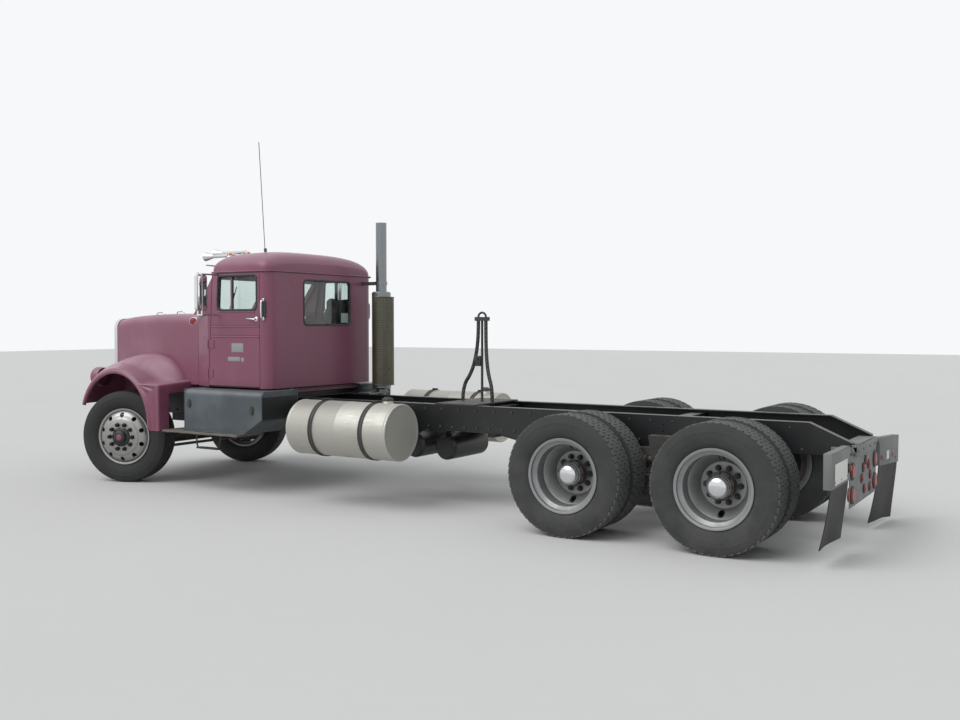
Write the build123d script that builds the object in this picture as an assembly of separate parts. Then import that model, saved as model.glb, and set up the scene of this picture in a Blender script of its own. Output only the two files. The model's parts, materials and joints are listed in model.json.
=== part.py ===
from build123d import *
import os
from math import cos, hypot, radians, sin, sqrt

# A conventional semi tractor: ladder frame, steered front axle, two drive axles on dual wheels,
# a steel day cab and a one-piece tilting hood with its fenders.
# Millimetres. +X points forward, +Y to the driver's left, +Z up, and the tyres stand on z = 0.

# Overall layout
wheelbase = 6462.0            # front axle to the middle of the two drive axles
axle_spacing = 1321.0         # between the two drive axles
front_overhang = 858.0        # front axle to the face of the grille surround
rear_overhang = 1575.0        # middle of the drive axles to the lamp panel
bent_hanger_reach = 55.0      # the bent right hanger stands out this far behind the lamp panel

front_axle_x = (front_overhang + wheelbase + rear_overhang + bent_hanger_reach) / 2 - front_overhang
drive_mid_x = front_axle_x - wheelbase
drive_axle_xs = (drive_mid_x + axle_spacing / 2, drive_mid_x - axle_spacing / 2)
rear_end_x = drive_mid_x - rear_overhang

# Tyres and wheels
tyre_radius = 530.0
tyre_width = 285.0
rim_radius = 311.0            # bead seat
rim_flange_radius = 324.0
rim_half_width = 117.0        # outside of one flange to the rim's middle
rim_wall = 9.0
disc_outset = 156.0           # rim middle to the face that bolts to the hub
disc_thickness = 14.0
front_hole_count = 10
drive_hole_count = 5
hub_bore_radius = 110.0
front_track_half = 1012.0     # middle of the front tyre
dual_spacing = 2 * (disc_outset + disc_thickness)
dual_mid_y = 904.0            # between the two tyres of a pair
hub_radius = 95.0
drum_radius = 215.0
drum_width = 150.0

# Steering
kingpin_y = 868.0
kingpin_radius = 24.0
steer_at_rest = 19.5          # degrees to the left, as parked
steering_arm_length = 190.0
tie_rod_z = 372.0
tie_rod_radius = 17.0
pivot_gap = 1.0               # running clearance round pins and spindles
part_gap = 6.0                # between pieces that move past each other

# Frame
rail_y = 430.0                # outer face of each rail
rail_bottom = 757.0
rail_depth = 263.0
rail_flange = 89.0
rail_wall = 9.0
rail_top = rail_bottom + rail_depth
rail_front_x = front_axle_x + 743.0
rail_back_x = rear_end_x + 30.0
rail_taper = 340.0            # length of the sloped tail
rail_tail_drop = 150.0

# Cab
cab_half_width = 895.0
cab_wall = 40.0
cab_back_x = front_axle_x - 2161.0
cab_floor_z = 1133.0
cab_floor_thickness = 45.0
cab_eave_z = 2392.0
cab_crown_z = 2640.0
cab_corner_radius = 120.0
door_back_x = front_axle_x - 2027.0
door_front_x = front_axle_x - 1252.0
door_bottom_z = 1150.0
door_top_z = cab_eave_z - 3.0
door_lean = 70.0              # how far the front edge leans back at the top
door_thickness = 50.0
door_gap = 6.0
hinge_pin_y = cab_half_width + 9.0
hinge_pin_radius = 8.0
hinge_rows = ((1240.0, 1330.0), (1560.0, 1650.0))     # lower and upper end of each barrel
door_window_sill_z = 1980.0
door_window_top_z = 2352.0
screen_base_x = front_axle_x - 992.0
screen_top_x = front_axle_x - 1322.0
screen_base_z = 1935.0
screen_top_z = 2372.0
glass_thickness = 6.0
cowl_x = front_axle_x - 937.0
cowl_half_width = 750.0
rear_window_middle_y = -60.0
rear_window_half_width = 400.0
rear_window_corner = 55.0
rear_window_ys = (rear_window_middle_y - rear_window_half_width, rear_window_middle_y + rear_window_half_width)
rear_window_bottom_z = 1820.0
rear_window_top_z = 2316.0

# Hood
hood_wall = 14.0
hood_back_x = cowl_x + 10.0
hood_back_half_width = 742.0
hood_front_half_width = 478.0
hood_back_top_z = 1930.0
hood_front_top_z = 1895.0
hood_edge_radius = 120.0
hood_bottom_z = 1140.0
hood_front_bottom_z = 960.0
hood_hinge_x = front_axle_x + 703.0
hood_hinge_z = 815.0
hood_pin_radius = 14.0
grille_depth = 55.0

# Fenders
fender_outer_y = 1210.0
fender_inner_y = 640.0
fender_wall = 12.0
fender_arc_radius = 618.0     # outline of the outer edge
fender_arc_x = front_axle_x - 32.0
fender_arc_z = 705.0
fender_lip = 62.0             # width of the flat lip round the wheel opening
fender_crest_radius = 640.0   # outline beside the hood
fender_crest_x = front_axle_x - 142.0
fender_crest_z = 838.0
fender_nose_y = 880.0         # the ridge that runs forward from the crest to the lamp
fender_nose_x = front_axle_x + 655.0
fender_nose_z = 1318.0
fender_nose_corner = 60.0
fender_back_x = front_axle_x - 772.0
fender_bottom_z = 640.0
fender_front_z = 890.0
shelf_z = 1152.0
leg_inner_y = 1040.0          # how far the leg's rear face reaches inwards
lamp_pod_x = front_axle_x + 660.0
lamp_pod_y = 880.0
lamp_pod_z = 1195.0
lamp_pod_radius = 118.0
headlamp_radius = 92.0

# Side equipment
box_front_x = front_axle_x - 1097.0
box_back_x = front_axle_x - 2262.0
box_outer_y = 1110.0
box_inner_y = 560.0
box_top_z = 1118.0
box_bottom_z = 655.0
box_slope_length = 278.0      # the sloped rear, along the box and up its back
box_slope_z = 826.0
tank_radius = 280.0
tank_length = 1250.0
tank_back_x = drive_axle_xs[0] + 1850.0
tank_y = 958.0
tank_z = 775.0
stack_x = cab_back_x - 275.0
stack_y = -705.0
stack_top_z = 3020.0
stack_radius = 63.0
shield_radius = 148.0
muffler_radius = 112.0

# Frame fittings
web_hole_x = drive_mid_x + 250.0
web_hole_z = rail_bottom + 150.0
web_hole_spacing = (400.0, 60.0)
web_hole_radius = 9.0
member_top = rail_top - 30.0
bearing_x = drive_axle_xs[0] + 1350.0
bearing_member_depth = 180.0

# Rear closing channel, lamps and tow hole
panel_x = rear_end_x
panel_top = rail_top - rail_tail_drop - 20.0
panel_half = 530.0
panel_bottom = 360.0
lamp_radius = 57.0
lamp_places = [(side * 455.0, z) for side in (1, -1) for z in (650.0, 460.0)]
tow_hole_z = rail_bottom + 60.0
tow_hole_radius = 16.0

# Axle ends and springs
axle_z = tyre_radius
spring_y = rail_y + 50.0
axle_end_radius = 62.0
hub_face = -disc_thickness     # drive hub's stud flange, seen from between the two wheels
axle_end_y = dual_mid_y + hub_face - 16.0
gearbox_back_x = cab_back_x + 262.0

# Knuckles
spindle_radius = 36.0
fork_radius = 58.0
fork_half_height = 122.0
tie_stud_radius = 11.0

# Radiator and fan
core_half_width = 400.0
core_half_depth = 60.0
fan_opening = 318.0
fan_z = 1380.0

# Seats
seat_x = cab_back_x + 400.0
seat_y = 470.0
seat_base_z = cab_floor_z + 300.0

# Windscreen
screen_margin = 45.0
screen_post_half = 22.0

# Steering wheel
column_tilt = 48.0            # degrees below the horizontal, pointing forward and down
column_length = 300.0
wheel_x = cab_back_x + 760.0
wheel_z = 1790.0
wheel_rim_radius = 225.0

# Door window and mirror
vent_post_back = 345.0        # vent window post, behind the door's front edge
window_frame = 92.0
mirror_y = 1190.0
mirror_x = door_front_x - 205.0

# Grille
grille_front_x = front_axle_x + front_overhang
grille_low_z = 1000.0
grille_high_z = 1860.0

# Tank straps
strap_offsets = (300.0, 930.0)
strap_width = 52.0
strap_thickness = 6.0

# Exhaust pipe and its shield
stack_plate_z = rail_top + 14.0
pipe_radius = 48.0
pipe_y = -(rail_y + box_inner_y) / 2
pipe_z = 925.0
shield_rows = 12
shield_columns = 8
shield_bridge = 24.0
shield_slot_width = 16.0
shield_first_angle = 110.0
shield_angle_step = 20.0

# Hose stand and hoses
hose_x = drive_axle_xs[0] + 1530.0
hose_clamp_z = 1900.0
hose_routes = {
    "hose_bundle_rear": (19.0, [(-45, 0, 1860), (-45, 0, 1700), (-58, 12, 1510), (-88, 26, 1320),
                                (-142, 34, 1170), (-142, 34, 1032)]),
    "hose_bundle_front": (19.0, [(45, 0, 1860), (45, 0, 1700), (80, -14, 1510), (140, -24, 1330),
                                 (248, -20, 1180), (248, -20, 1032)]),
}

# Rear hangers and flaps
hanger_x = rear_end_x + 12.0
hanger_depth = 62.0
hanger_inner_y = 590.0
hanger_outer_y = 1205.0
hanger_sheet = 4.0
hanger_arm_z = 806.0
hanger_rows = ((1, 600.0, 868.0, 140.0, 0.0, 0.0),      # side, bracket's foot, its top, flap's lower edge,
               (-1, 580.0, 830.0, 62.0, 2.5, 5.0))      # degrees of droop, degrees bent back
flap_thickness = 9.0
flap_sweep = 70.0             # how far the flap's lower edge hangs forward


def block(x_range, y_range, z_range):
    """A box between two corners."""
    sizes = [pair[1] - pair[0] for pair in (x_range, y_range, z_range)]
    middles = [(pair[1] + pair[0]) / 2 for pair in (x_range, y_range, z_range)]
    return Pos(*middles) * Box(*sizes)


def outline(steps, place):
    """A closed face: each step is (a, b) for a straight edge or (mid_a, mid_b, a, b) for an arc."""
    edges = []
    start = steps[0]
    here = start
    for step in list(steps[1:]) + [start]:
        if len(step) == 4:
            edges.append(Edge.make_three_point_arc(place(*here), place(*step[:2]), place(*step[2:])))
        elif hypot(step[0] - here[0], step[1] - here[1]) > 0.01:
            edges.append(Edge.make_line(place(*here), place(*step)))
        here = step[-2:]
    return Face(Wire(edges))


def pushed(face, amount, direction):
    """A face pushed along a direction, with its outside facing that way first."""
    if face.normal_at().dot(Vector(*direction)) < 0:
        face = -face
    return extrude(face, amount=amount, dir=direction)


def side_plate(steps, y_range):
    """An outline of (x, z) points, pushed out along Y."""
    face = outline(steps, lambda x, z: (x, y_range[0], z))
    return pushed(face, y_range[1] - y_range[0], (0, 1, 0))


def plan_plate(steps, z_range):
    """An outline of (x, y) points, pushed up along Z."""
    face = outline(steps, lambda x, y: (x, y, z_range[0]))
    return pushed(face, z_range[1] - z_range[0], (0, 0, 1))


def cross_plate(steps, x_range):
    """An outline of (y, z) points, pushed forward along X."""
    face = outline(steps, lambda y, z: (x_range[0], y, z))
    return pushed(face, x_range[1] - x_range[0], (1, 0, 0))


def rod(start, end, radius, hole=0.0):
    """A round bar, or a tube, between two points."""
    path = Vector(*end) - Vector(*start)
    plane = Plane(origin=start, z_dir=path)
    bar = extrude(plane * Circle(radius), amount=path.length)
    if hole:
        bar -= extrude(plane * Circle(hole), amount=path.length)
    return bar


def turned(steps, center):
    """A ring turned about the wheel's own axis: steps are (radius, y) from the wheel's middle."""
    face = outline(steps, lambda radius, y: (radius, y, 0))
    return Pos(*center) * revolve(face, Axis.Y, 360)


def mirrored(shape):
    """The same piece on the truck's other side."""
    return mirror(shape, Plane.XZ)


def together(shapes):
    """Separate solids kept in one node."""
    solids = []
    for shape in shapes:
        solids.extend(shape.solids())
    return Compound(children=solids)


def both_sides(shape):
    return together([shape, mirrored(shape)])


def sorted_pair(a, b):
    return (min(a, b), max(a, b))


# Frame
def frame_rails():
    tail_x = rail_back_x + rail_taper
    tail_top = rail_top - rail_tail_drop
    profile = [(rail_front_x, rail_bottom), (rail_front_x, rail_top), (tail_x, rail_top),
               (rail_back_x, tail_top), (rail_back_x, rail_bottom + 20), (tail_x, rail_bottom)]
    solid = side_plate(profile, (rail_y - rail_flange, rail_y))
    inside = [(rail_front_x + 1, rail_bottom + rail_wall), (rail_front_x + 1, rail_top - rail_wall),
              (tail_x, rail_top - rail_wall), (rail_back_x - 1, tail_top - rail_wall),
              (rail_back_x - 1, rail_bottom + 20 + rail_wall), (tail_x, rail_bottom + rail_wall)]
    channel = side_plate(inside, (rail_y - rail_flange - 1, rail_y - rail_wall))
    rail = solid - channel
    for x_offset in (-web_hole_spacing[0] / 2, web_hole_spacing[0] / 2):
        for z_offset in (-web_hole_spacing[1] / 2, web_hole_spacing[1] / 2):
            x = web_hole_x + x_offset
            z = web_hole_z + z_offset
            rail -= rod((x, rail_y - 30, z), (x, rail_y + 5, z), web_hole_radius)
    return both_sides(rail)


def crossmembers():
    """Channels between the rails, open downwards, the hood's pivot pins and the cab's rear mount."""
    width = rail_y - rail_wall
    pieces = []
    for x, depth in ((front_axle_x + 653, 150), (cab_back_x + 120, 110),
                     (bearing_x, bearing_member_depth), (drive_mid_x, 200)):
        beam = block((x - 60, x + 60), (-width, width), (member_top - depth, member_top))
        beam -= block((x - 50, x + 50), (-width - 1, width + 1), (member_top - depth - 1, member_top - 10))
        pieces.append(beam)
    for side in (-1, 1):
        pieces.append(rod((hood_hinge_x, side * rail_y, hood_hinge_z),
                          (hood_hinge_x, side * (rail_y + 48), hood_hinge_z), hood_pin_radius))
    mount_z = (rail_top, cab_floor_z - 8)
    mount = block((cab_back_x - 60, cab_back_x + 60), (-560, 560), mount_z)
    mount -= block((cab_back_x - 61, cab_back_x + 40), (-561, 561), (mount_z[0] + 12, mount_z[1] - 12))
    pieces.append(mount)
    return together(pieces)


def rear_crossmember():
    """The closing channel, with the lamp panel that hangs below it."""
    beam = block((panel_x, rail_back_x), (-rail_y, rail_y), (rail_bottom + 20, panel_top))
    beam -= block((panel_x - 1, rail_back_x - 8), (-rail_y - 1, rail_y + 1),
                  (rail_bottom + 40, panel_top - 12))
    panel = block((rail_back_x - 8, rail_back_x), (-panel_half, panel_half), (panel_bottom, rail_bottom + 25))
    rear = beam + panel
    for y, z in lamp_places:
        rear -= rod((panel_x, y, z), (rail_back_x + 10, y, z), lamp_radius)
    rear -= rod((panel_x - 5, 0, tow_hole_z), (rail_back_x + 10, 0, tow_hole_z), tow_hole_radius)
    return rear


def tail_lamps():
    lamps = []
    for y, z in lamp_places:
        lamp = rod((rail_back_x - 26, y, z), (rail_back_x + 18, y, z), lamp_radius)
        lamps.append(chamfer(lamp.edges().group_by(Axis.X)[0], 8))
    return together(lamps)


# Axles and suspension


def front_axle():
    """A dropped I-beam between the two kingpins."""
    drop = 95.0
    seat = 545.0
    z = axle_z
    steps = [(-kingpin_y + 40, z - 45), (-seat - 60, z - 45 - drop), (seat + 60, z - 45 - drop),
             (kingpin_y - 40, z - 45), (kingpin_y - 40, z + 45), (seat, z + 45 - drop),
             (-seat, z + 45 - drop), (-kingpin_y + 40, z + 45)]
    beam = cross_plate(steps, (front_axle_x - 50, front_axle_x + 50))
    for side in (-1, 1):
        groove_x = front_axle_x + side * 34
        beam -= block((groove_x - 17, groove_x + 17), (-seat + 40, seat - 40), (z - drop - 26, z - drop + 26))
    for side in (-1, 1):
        y = side * kingpin_y
        eye = rod((front_axle_x, y, z - 55), (front_axle_x, y, z + 55), 62)
        pin = rod((front_axle_x, y, z - 125), (front_axle_x, y, z + 125), kingpin_radius)
        beam = beam + eye + pin
    return beam


def leaf_pack(center_x, half_length, leaves, seat_z, eye_rise, width=89.0):
    """A stack of curved leaves that shorten downwards, as one stepped outline."""
    leaf = 14.0
    reaches = [half_length * (1 - 0.12 * number) for number in range(leaves)]
    heights = [seat_z + eye_rise * (reach / half_length) ** 2 for reach in reaches]
    front = []
    back = []
    for number in range(leaves):
        for drop in (number, number + 1):
            front.append((center_x + reaches[number], heights[number] - leaf * drop))
            back.append((center_x - reaches[number], heights[number] - leaf * drop))
    lowest = back.pop()
    steps = front + [(center_x, seat_z - leaf * leaves, *lowest)] + back[::-1]
    steps = [back[0], (center_x, seat_z, *front[0])] + steps[1:-1]
    return side_plate(steps, (spring_y - width / 2, spring_y + width / 2))


def suspension():
    """Front leaf springs with their hangers, and at the back a walking beam and spring each side."""
    seat_z = axle_z - 50
    half = 620.0
    rise = 120.0
    hanger_half = 28.0
    front = leaf_pack(front_axle_x, half, 4, seat_z + 56, rise)
    eye_z = seat_z + 56 + rise
    for end in (-1, 1):
        x = front_axle_x + end * (half - 20)
        hanger = block((x - hanger_half, x + hanger_half), (rail_y, spring_y + 55),
                       (eye_z - 22, rail_bottom + 130))
        front = front + hanger
    front = front + block((front_axle_x - 90, front_axle_x + 90), (spring_y - 50, spring_y + 50),
                          (seat_z, seat_z + 100))
    back = leaf_pack(drive_mid_x, 560.0, 5, rail_bottom - 10, -60.0, 100.0)
    saddle = side_plate([(drive_mid_x - 150, rail_bottom + 90), (drive_mid_x + 150, rail_bottom + 90),
                         (drive_mid_x + 90, axle_z - 60), (drive_mid_x - 90, axle_z - 60)],
                        (rail_y, spring_y + 50))
    beam_half = axle_spacing / 2
    beam = side_plate([(drive_mid_x - beam_half - 70, axle_z - 165), (drive_mid_x, axle_z - 215,
                       drive_mid_x + beam_half + 70, axle_z - 165),
                       (drive_mid_x + beam_half + 70, axle_z - 94), (drive_mid_x + beam_half - 90, axle_z - 94),
                       (drive_mid_x, axle_z - 30, drive_mid_x - beam_half + 90, axle_z - 94),
                       (drive_mid_x - beam_half - 70, axle_z - 94)],
                      (spring_y - 45, spring_y + 45))
    back = back + saddle + beam
    return both_sides(together([front, back]))


def drive_axles():
    """Housings with their round centre, and the tubes that run out into the hubs."""
    axles = []
    for number, x in enumerate(drive_axle_xs):
        tube = rod((x, -axle_end_y, axle_z), (x, axle_end_y, axle_z), axle_end_radius)
        beam = block((x - 75, x + 75), (-560, 560), (axle_z - 75, axle_z + 75))
        centre = rod((x - 90, 0, axle_z), (x + 170, 0, axle_z), 215)
        nose = rod((x + 170, 0, axle_z + 20), (x + 330, 0, axle_z + 20), 95)
        axle = beam + centre + nose + tube
        if number == 0:
            axle = axle + rod((x - 300, 0, axle_z + 20), (x - 90, 0, axle_z + 20), 70)
        for side in (-1, 1):
            seat = block((x - 70, x + 70), (side * spring_y - 50, side * spring_y + 50),
                         (axle_z - 94, axle_z - 70))
            axle = axle + seat
        axles.append(axle)
    return together(axles)


def driveshafts():
    """From the gearbox to a centre bearing, on to the first axle, and between the axles."""
    z = axle_z + 20
    nose = drive_axle_xs[0] + 330
    bearing_z = rail_bottom - 6
    gearbox_z = rail_bottom + 40
    line = rod((nose, 0, z), (nose + 50, 0, z), 75) + rod((nose + 40, 0, z), (bearing_x, 0, bearing_z), 50)
    line = line + rod((bearing_x, 0, bearing_z), (gearbox_back_x - 40, 0, gearbox_z), 50)
    line = line + rod((gearbox_back_x - 50, 0, gearbox_z), (gearbox_back_x, 0, gearbox_z), 75)
    line = line + block((bearing_x - 45, bearing_x + 45), (-110, 110),
                        (bearing_z - 70, member_top - bearing_member_depth))
    between = rod((drive_axle_xs[1] + 330, 0, z), (drive_axle_xs[0] - 300, 0, z), 45)
    return together([line, between])


# Wheels, drawn at the middle of the tyre with the outside towards +Y
def tyre_ring(center):
    half = tyre_width / 2
    bead = rim_half_width - 14
    tread = half - 22
    lip = rim_flange_radius + 2
    steps = [(rim_radius, -bead), (lip, -bead), (rim_radius + 100, -half, tyre_radius - 40, -half + 12),
             (tyre_radius - 8, -tread), (tyre_radius, 0, tyre_radius - 8, tread),
             (tyre_radius - 40, half - 12), (rim_radius + 100, half, lip, bead), (rim_radius, bead),
             (rim_radius, bead - 18), (rim_radius + 30, bead - 22), (rim_radius + 30, -bead + 22),
             (rim_radius, -bead + 18)]
    return turned(steps, center)


def rim_barrel():
    edge = rim_half_width
    well = rim_radius - 38
    wall = rim_wall
    steps = [(rim_flange_radius, -edge), (rim_flange_radius, -edge + 12), (rim_radius, -edge + 14),
             (rim_radius, -edge + 34), (well, -edge + 60), (well, edge - 60), (rim_radius, edge - 34),
             (rim_radius, edge - 14), (rim_flange_radius, edge - 12), (rim_flange_radius, edge),
             (rim_radius - wall, edge), (rim_radius - wall, edge - 36), (well - wall, edge - 64),
             (well - wall, -edge + 64), (rim_radius - wall, -edge + 36), (rim_radius - wall, -edge)]
    return turned(steps, (0, 0, 0))


def hand_holes(disc, count, circle_radius, radius):
    tool = rod((circle_radius, 20, 0), (circle_radius, disc_outset + 60, 0), radius)
    for number in range(count):
        disc -= Rot(0, 360 / count * (number + 0.5), 0) * tool
    return disc


def front_rim():
    """Cast wheel: a flat ring for the nuts and a sloped ring with hand holes out to the flange."""
    face = disc_outset
    back = disc_outset + disc_thickness
    root = rim_radius - rim_wall + 1
    disc = turned([(hub_bore_radius, face), (hub_bore_radius, back), (208, back), (216, back - 12),
                   (262, back - 26, root, 92), (root, 72), (262, face - 34, 200, face)], (0, 0, 0))
    return rim_barrel() + hand_holes(disc, front_hole_count, 254.0, 26.0)


def drive_rim(disc_side):
    """Pressed steel wheel, deeply dished: disc_side is +1 where the disc bulges outwards."""
    face = disc_outset
    back = disc_outset + disc_thickness
    root = rim_radius - 38 - rim_wall + 2
    disc = turned([(hub_bore_radius, face), (hub_bore_radius, back), (188, back), (208, back - 12),
                   (root, 74), (root, 48), (root - 10, 48), (188, face)], (0, 0, 0))
    wheel = rim_barrel() + hand_holes(disc, drive_hole_count, 226.0, 25.0)
    return wheel if disc_side > 0 else mirror(wheel, Plane.XZ)


def hub_and_drum(face_y, spindle_radius, nose, nose_radius, stack):
    """Hub, stud flange and brake drum behind the disc whose hub face lies at y = face_y."""
    bore = spindle_radius + pivot_gap
    drum_back = face_y - 26 - drum_width
    outer = face_y + stack
    tip = outer + nose
    hub = turned([(bore, face_y - 120), (bore, face_y - 6), (0, face_y - 6), (0, tip),
                  (nose_radius * 0.72, tip - nose_radius * 0.22, nose_radius, tip - nose_radius * 0.75),
                  (nose_radius, outer + 12), (hub_bore_radius - 1, outer + 12),
                  (hub_bore_radius - 1, face_y), (175, face_y), (175, face_y - 26), (hub_radius, face_y - 26),
                  (hub_radius, face_y - 120)], (0, 0, 0))
    drum = turned([(hub_radius - 1, face_y - 26), (drum_radius, face_y - 26), (drum_radius, drum_back),
                   (drum_radius - 14, drum_back), (drum_radius - 14, face_y - 40),
                   (hub_radius - 1, face_y - 40)], (0, 0, 0))
    return hub + drum


def steered(shape, side):
    """Turn a piece about its kingpin to the parked steering angle."""
    pin = Pos(front_axle_x, side * kingpin_y, 0)
    return pin * Rot(0, 0, steer_at_rest) * pin.inverse() * shape


def front_wheel(side):
    wheel = front_rim() + hub_and_drum(disc_outset, spindle_radius, 55, 72, disc_thickness)
    wheel = Pos(0, front_track_half, 0) * wheel
    if side < 0:
        wheel = mirrored(wheel)
    return steered(Pos(front_axle_x, 0, axle_z) * wheel, side)


def front_tyre(side):
    return steered(tyre_ring((front_axle_x, side * front_track_half, axle_z)), side)


def knuckle(side):
    """Forked knuckle on the kingpin, its spindle and its steering arm, with the backing plate."""
    x = front_axle_x
    y = kingpin_y
    z = axle_z
    fork_top = z + 55 + part_gap
    fork_bottom = z - 55 - part_gap
    yoke = block((x - fork_radius, x + fork_radius), (y, y + 112),
                 (z - fork_half_height, z + fork_half_height))
    yoke = yoke + rod((x, y, z - fork_half_height), (x, y, z + fork_half_height), fork_radius)
    yoke -= block((x - 80, x + 80), (y - 80, y + 70), (fork_bottom, fork_top))
    yoke -= rod((x, y, z - 140), (x, y, z + 140), kingpin_radius + pivot_gap)
    spindle = rod((x, y + 95, z), (x, front_track_half + disc_outset - 12, z), spindle_radius)
    plate = rod((x, y + 88, z), (x, y + 98, z), drum_radius - 6)
    piece = yoke + spindle + plate
    eye_x = x - steering_arm_length
    arm = plan_plate([(x - 30, y - 40), (x - 30, y + 40), (eye_x - 10, y + 26), (eye_x - 10, y - 26)],
                     (z - 122, z - 96))
    arm = arm + rod((eye_x, y, tie_rod_z + 29), (eye_x, y, z - 96), 27)
    piece = piece + arm
    piece -= rod((eye_x, y, 300), (eye_x, y, z - 60), tie_stud_radius + pivot_gap)
    if side < 0:
        piece = mirrored(piece)
    return steered(piece, side)


def rotate_about_pin(x, y, side):
    """Where a point of the straight-ahead knuckle lies at the parked steering angle."""
    angle = radians(steer_at_rest)
    dx = x - front_axle_x
    dy = y - side * kingpin_y
    return (front_axle_x + dx * cos(angle) - dy * sin(angle),
            side * kingpin_y + dx * sin(angle) + dy * cos(angle))


def tie_rod():
    """The cross rod behind the axle; its right-hand stud is the pivot left open."""
    ends = [rotate_about_pin(front_axle_x - steering_arm_length, side * kingpin_y, side) for side in (1, -1)]
    bar = rod((*ends[0], tie_rod_z), (*ends[1], tie_rod_z), tie_rod_radius)
    for x, y in ends:
        bar = bar + rod((x, y, tie_rod_z - 26), (x, y, tie_rod_z + 26), 28)
        bar = bar + rod((x, y, tie_rod_z), (x, y, axle_z - 90), tie_stud_radius)
    return bar


def dual_tyres(x, side):
    tyres = [tyre_ring((x, side * (dual_mid_y + offset), axle_z))
             for offset in (dual_spacing / 2, -dual_spacing / 2)]
    return together(tyres)


def dual_rims(x, side):
    """Outer rim dished in, inner rim dished out, bolted to one hub and drum."""
    outer = Pos(0, dual_spacing / 2, 0) * drive_rim(-1)
    inner = Pos(0, -dual_spacing / 2, 0) * drive_rim(1)
    hub = hub_and_drum(hub_face, axle_end_radius, 118, 84, 2 * disc_thickness)
    wheel = Pos(0, dual_mid_y, 0) * (outer + inner + hub)
    if side < 0:
        wheel = mirrored(wheel)
    return Pos(x, 0, axle_z) * wheel


# Engine and radiator
def engine():
    """The engine as one plain block with its gearbox, between the rails."""
    front_x = front_axle_x + 243
    x0 = cowl_x - 230
    main = block((cowl_x + 20, front_x), (-270, 270), (rail_bottom + 20, 1640))
    back = block((x0, cowl_x + 20), (-270, 270), (rail_bottom + 20, 1400))
    sump = block((x0 + 150, front_axle_x + 163), (-180, 180), (rail_bottom - 120, rail_bottom + 20))
    bell = rod((x0 - 150, 0, 960), (x0, 0, 960), 250)
    gearbox = block((gearbox_back_x, x0 - 150), (-170, 170), (rail_bottom - 60, 1090))
    return main + back + sump + bell + gearbox


def radiator():
    """The core, and the fan's shroud behind it."""
    x = front_axle_x + 603
    face = x - core_half_depth
    core = block((face, x + core_half_depth), (-core_half_width, core_half_width), (rail_top + 20, 1780))
    shroud = rod((face - 130, 0, fan_z), (face, 0, fan_z), fan_opening + 12, fan_opening)
    ring = block((face - 15, face), (-core_half_width, core_half_width), (rail_top + 40, 1760))
    ring -= rod((face - 20, 0, fan_z), (face + 10, 0, fan_z), fan_opening)
    return core + ring + shroud


# Cab shell
def cab_plan(half_width, back_x, corner, front_x):
    """Plan outline of the cab from its rounded back corners to a square front."""
    bulge = corner * (1 - cos(radians(45)))
    return [(front_x, half_width), (back_x + corner, half_width),
            (back_x + bulge, half_width - bulge, back_x, half_width - corner),
            (back_x, corner - half_width),
            (back_x + bulge, bulge - half_width, back_x + corner, -half_width),
            (front_x, -half_width)]


def cab_rear_wall():
    """Back wall, its rounded corners and the pillars that the doors shut against."""
    z_range = (cab_floor_z, cab_eave_z)
    outer = plan_plate(cab_plan(cab_half_width, cab_back_x, cab_corner_radius, door_back_x), z_range)
    inner = plan_plate(cab_plan(cab_half_width - cab_wall, cab_back_x + cab_wall,
                                cab_corner_radius - cab_wall, door_back_x + 1),
                       (cab_floor_z - 1, cab_eave_z + 1))
    wall = outer - inner
    window = block((cab_back_x - 5, cab_back_x + cab_wall + 5),
                   rear_window_ys, (rear_window_bottom_z, rear_window_top_z))
    window = fillet(window.edges().filter_by(Axis.X), rear_window_corner)
    return wall - window


def cab_floor():
    """Floor between the walls, its tunnel over the engine, the sills and the seat boxes."""
    z0 = cab_floor_z
    z1 = z0 + cab_floor_thickness
    plan = [(cowl_x - 60, cowl_half_width - 55), (door_front_x, cab_half_width - door_thickness - door_gap),
            (door_back_x, cab_half_width - door_thickness - door_gap),
            (door_back_x, cab_half_width - cab_wall),
            (cab_back_x + cab_corner_radius, cab_half_width - cab_wall)]
    bulge = (cab_corner_radius - cab_wall) * (1 - cos(radians(45)))
    wall_x = cab_back_x + cab_wall
    wall_y = cab_half_width - cab_wall
    corner = cab_corner_radius - cab_wall
    plan += [(wall_x + bulge, wall_y - bulge, wall_x, wall_y - corner), (wall_x, corner - wall_y),
             (wall_x + bulge, bulge - wall_y, wall_x + corner, -wall_y)]
    plan += [(x, -y) for x, y in reversed(plan[:4])]
    floor = plan_plate(plan, (z0, z1))
    tunnel_x = (cowl_x - 560, cowl_x - 60)
    floor -= block((tunnel_x[0] + 25, tunnel_x[1] + 1), (-290, 290), (z0 - 1, z1 + 1))
    hump = block(tunnel_x, (-315, 315), (z0 + 1, z0 + 330))
    hump -= block((tunnel_x[0] + 25, tunnel_x[1] + 1), (-290, 290), (z0 - 1, z0 + 305))
    floor = floor + hump
    for y in (seat_y, -seat_y):
        floor = floor + block((seat_x - 190, seat_x + 170), (y - 190, y + 190), (z1 - 1, seat_base_z))
    return floor


def seats():
    """Cushion and back of both seats."""
    pieces = []
    for y in (seat_y, -seat_y):
        cushion = block((seat_x - 230, seat_x + 250), (y - 250, y + 250),
                        (seat_base_z + 1, seat_base_z + 130))
        cushion = fillet(cushion.edges().filter_by(Axis.Z), 60)
        back = side_plate([(seat_x - 240, seat_base_z + 140), (seat_x - 90, seat_base_z + 140),
                           (seat_x - 205, seat_base_z + 720), (seat_x - 310, seat_base_z + 720)],
                          (y - 240, y + 240))
        pieces += [cushion, back]
    return together(pieces)


def door_edge(z):
    """Where the door opening's front edge stands at a height."""
    return door_front_x - door_lean * (z - door_bottom_z) / (door_top_z - door_bottom_z)


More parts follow.
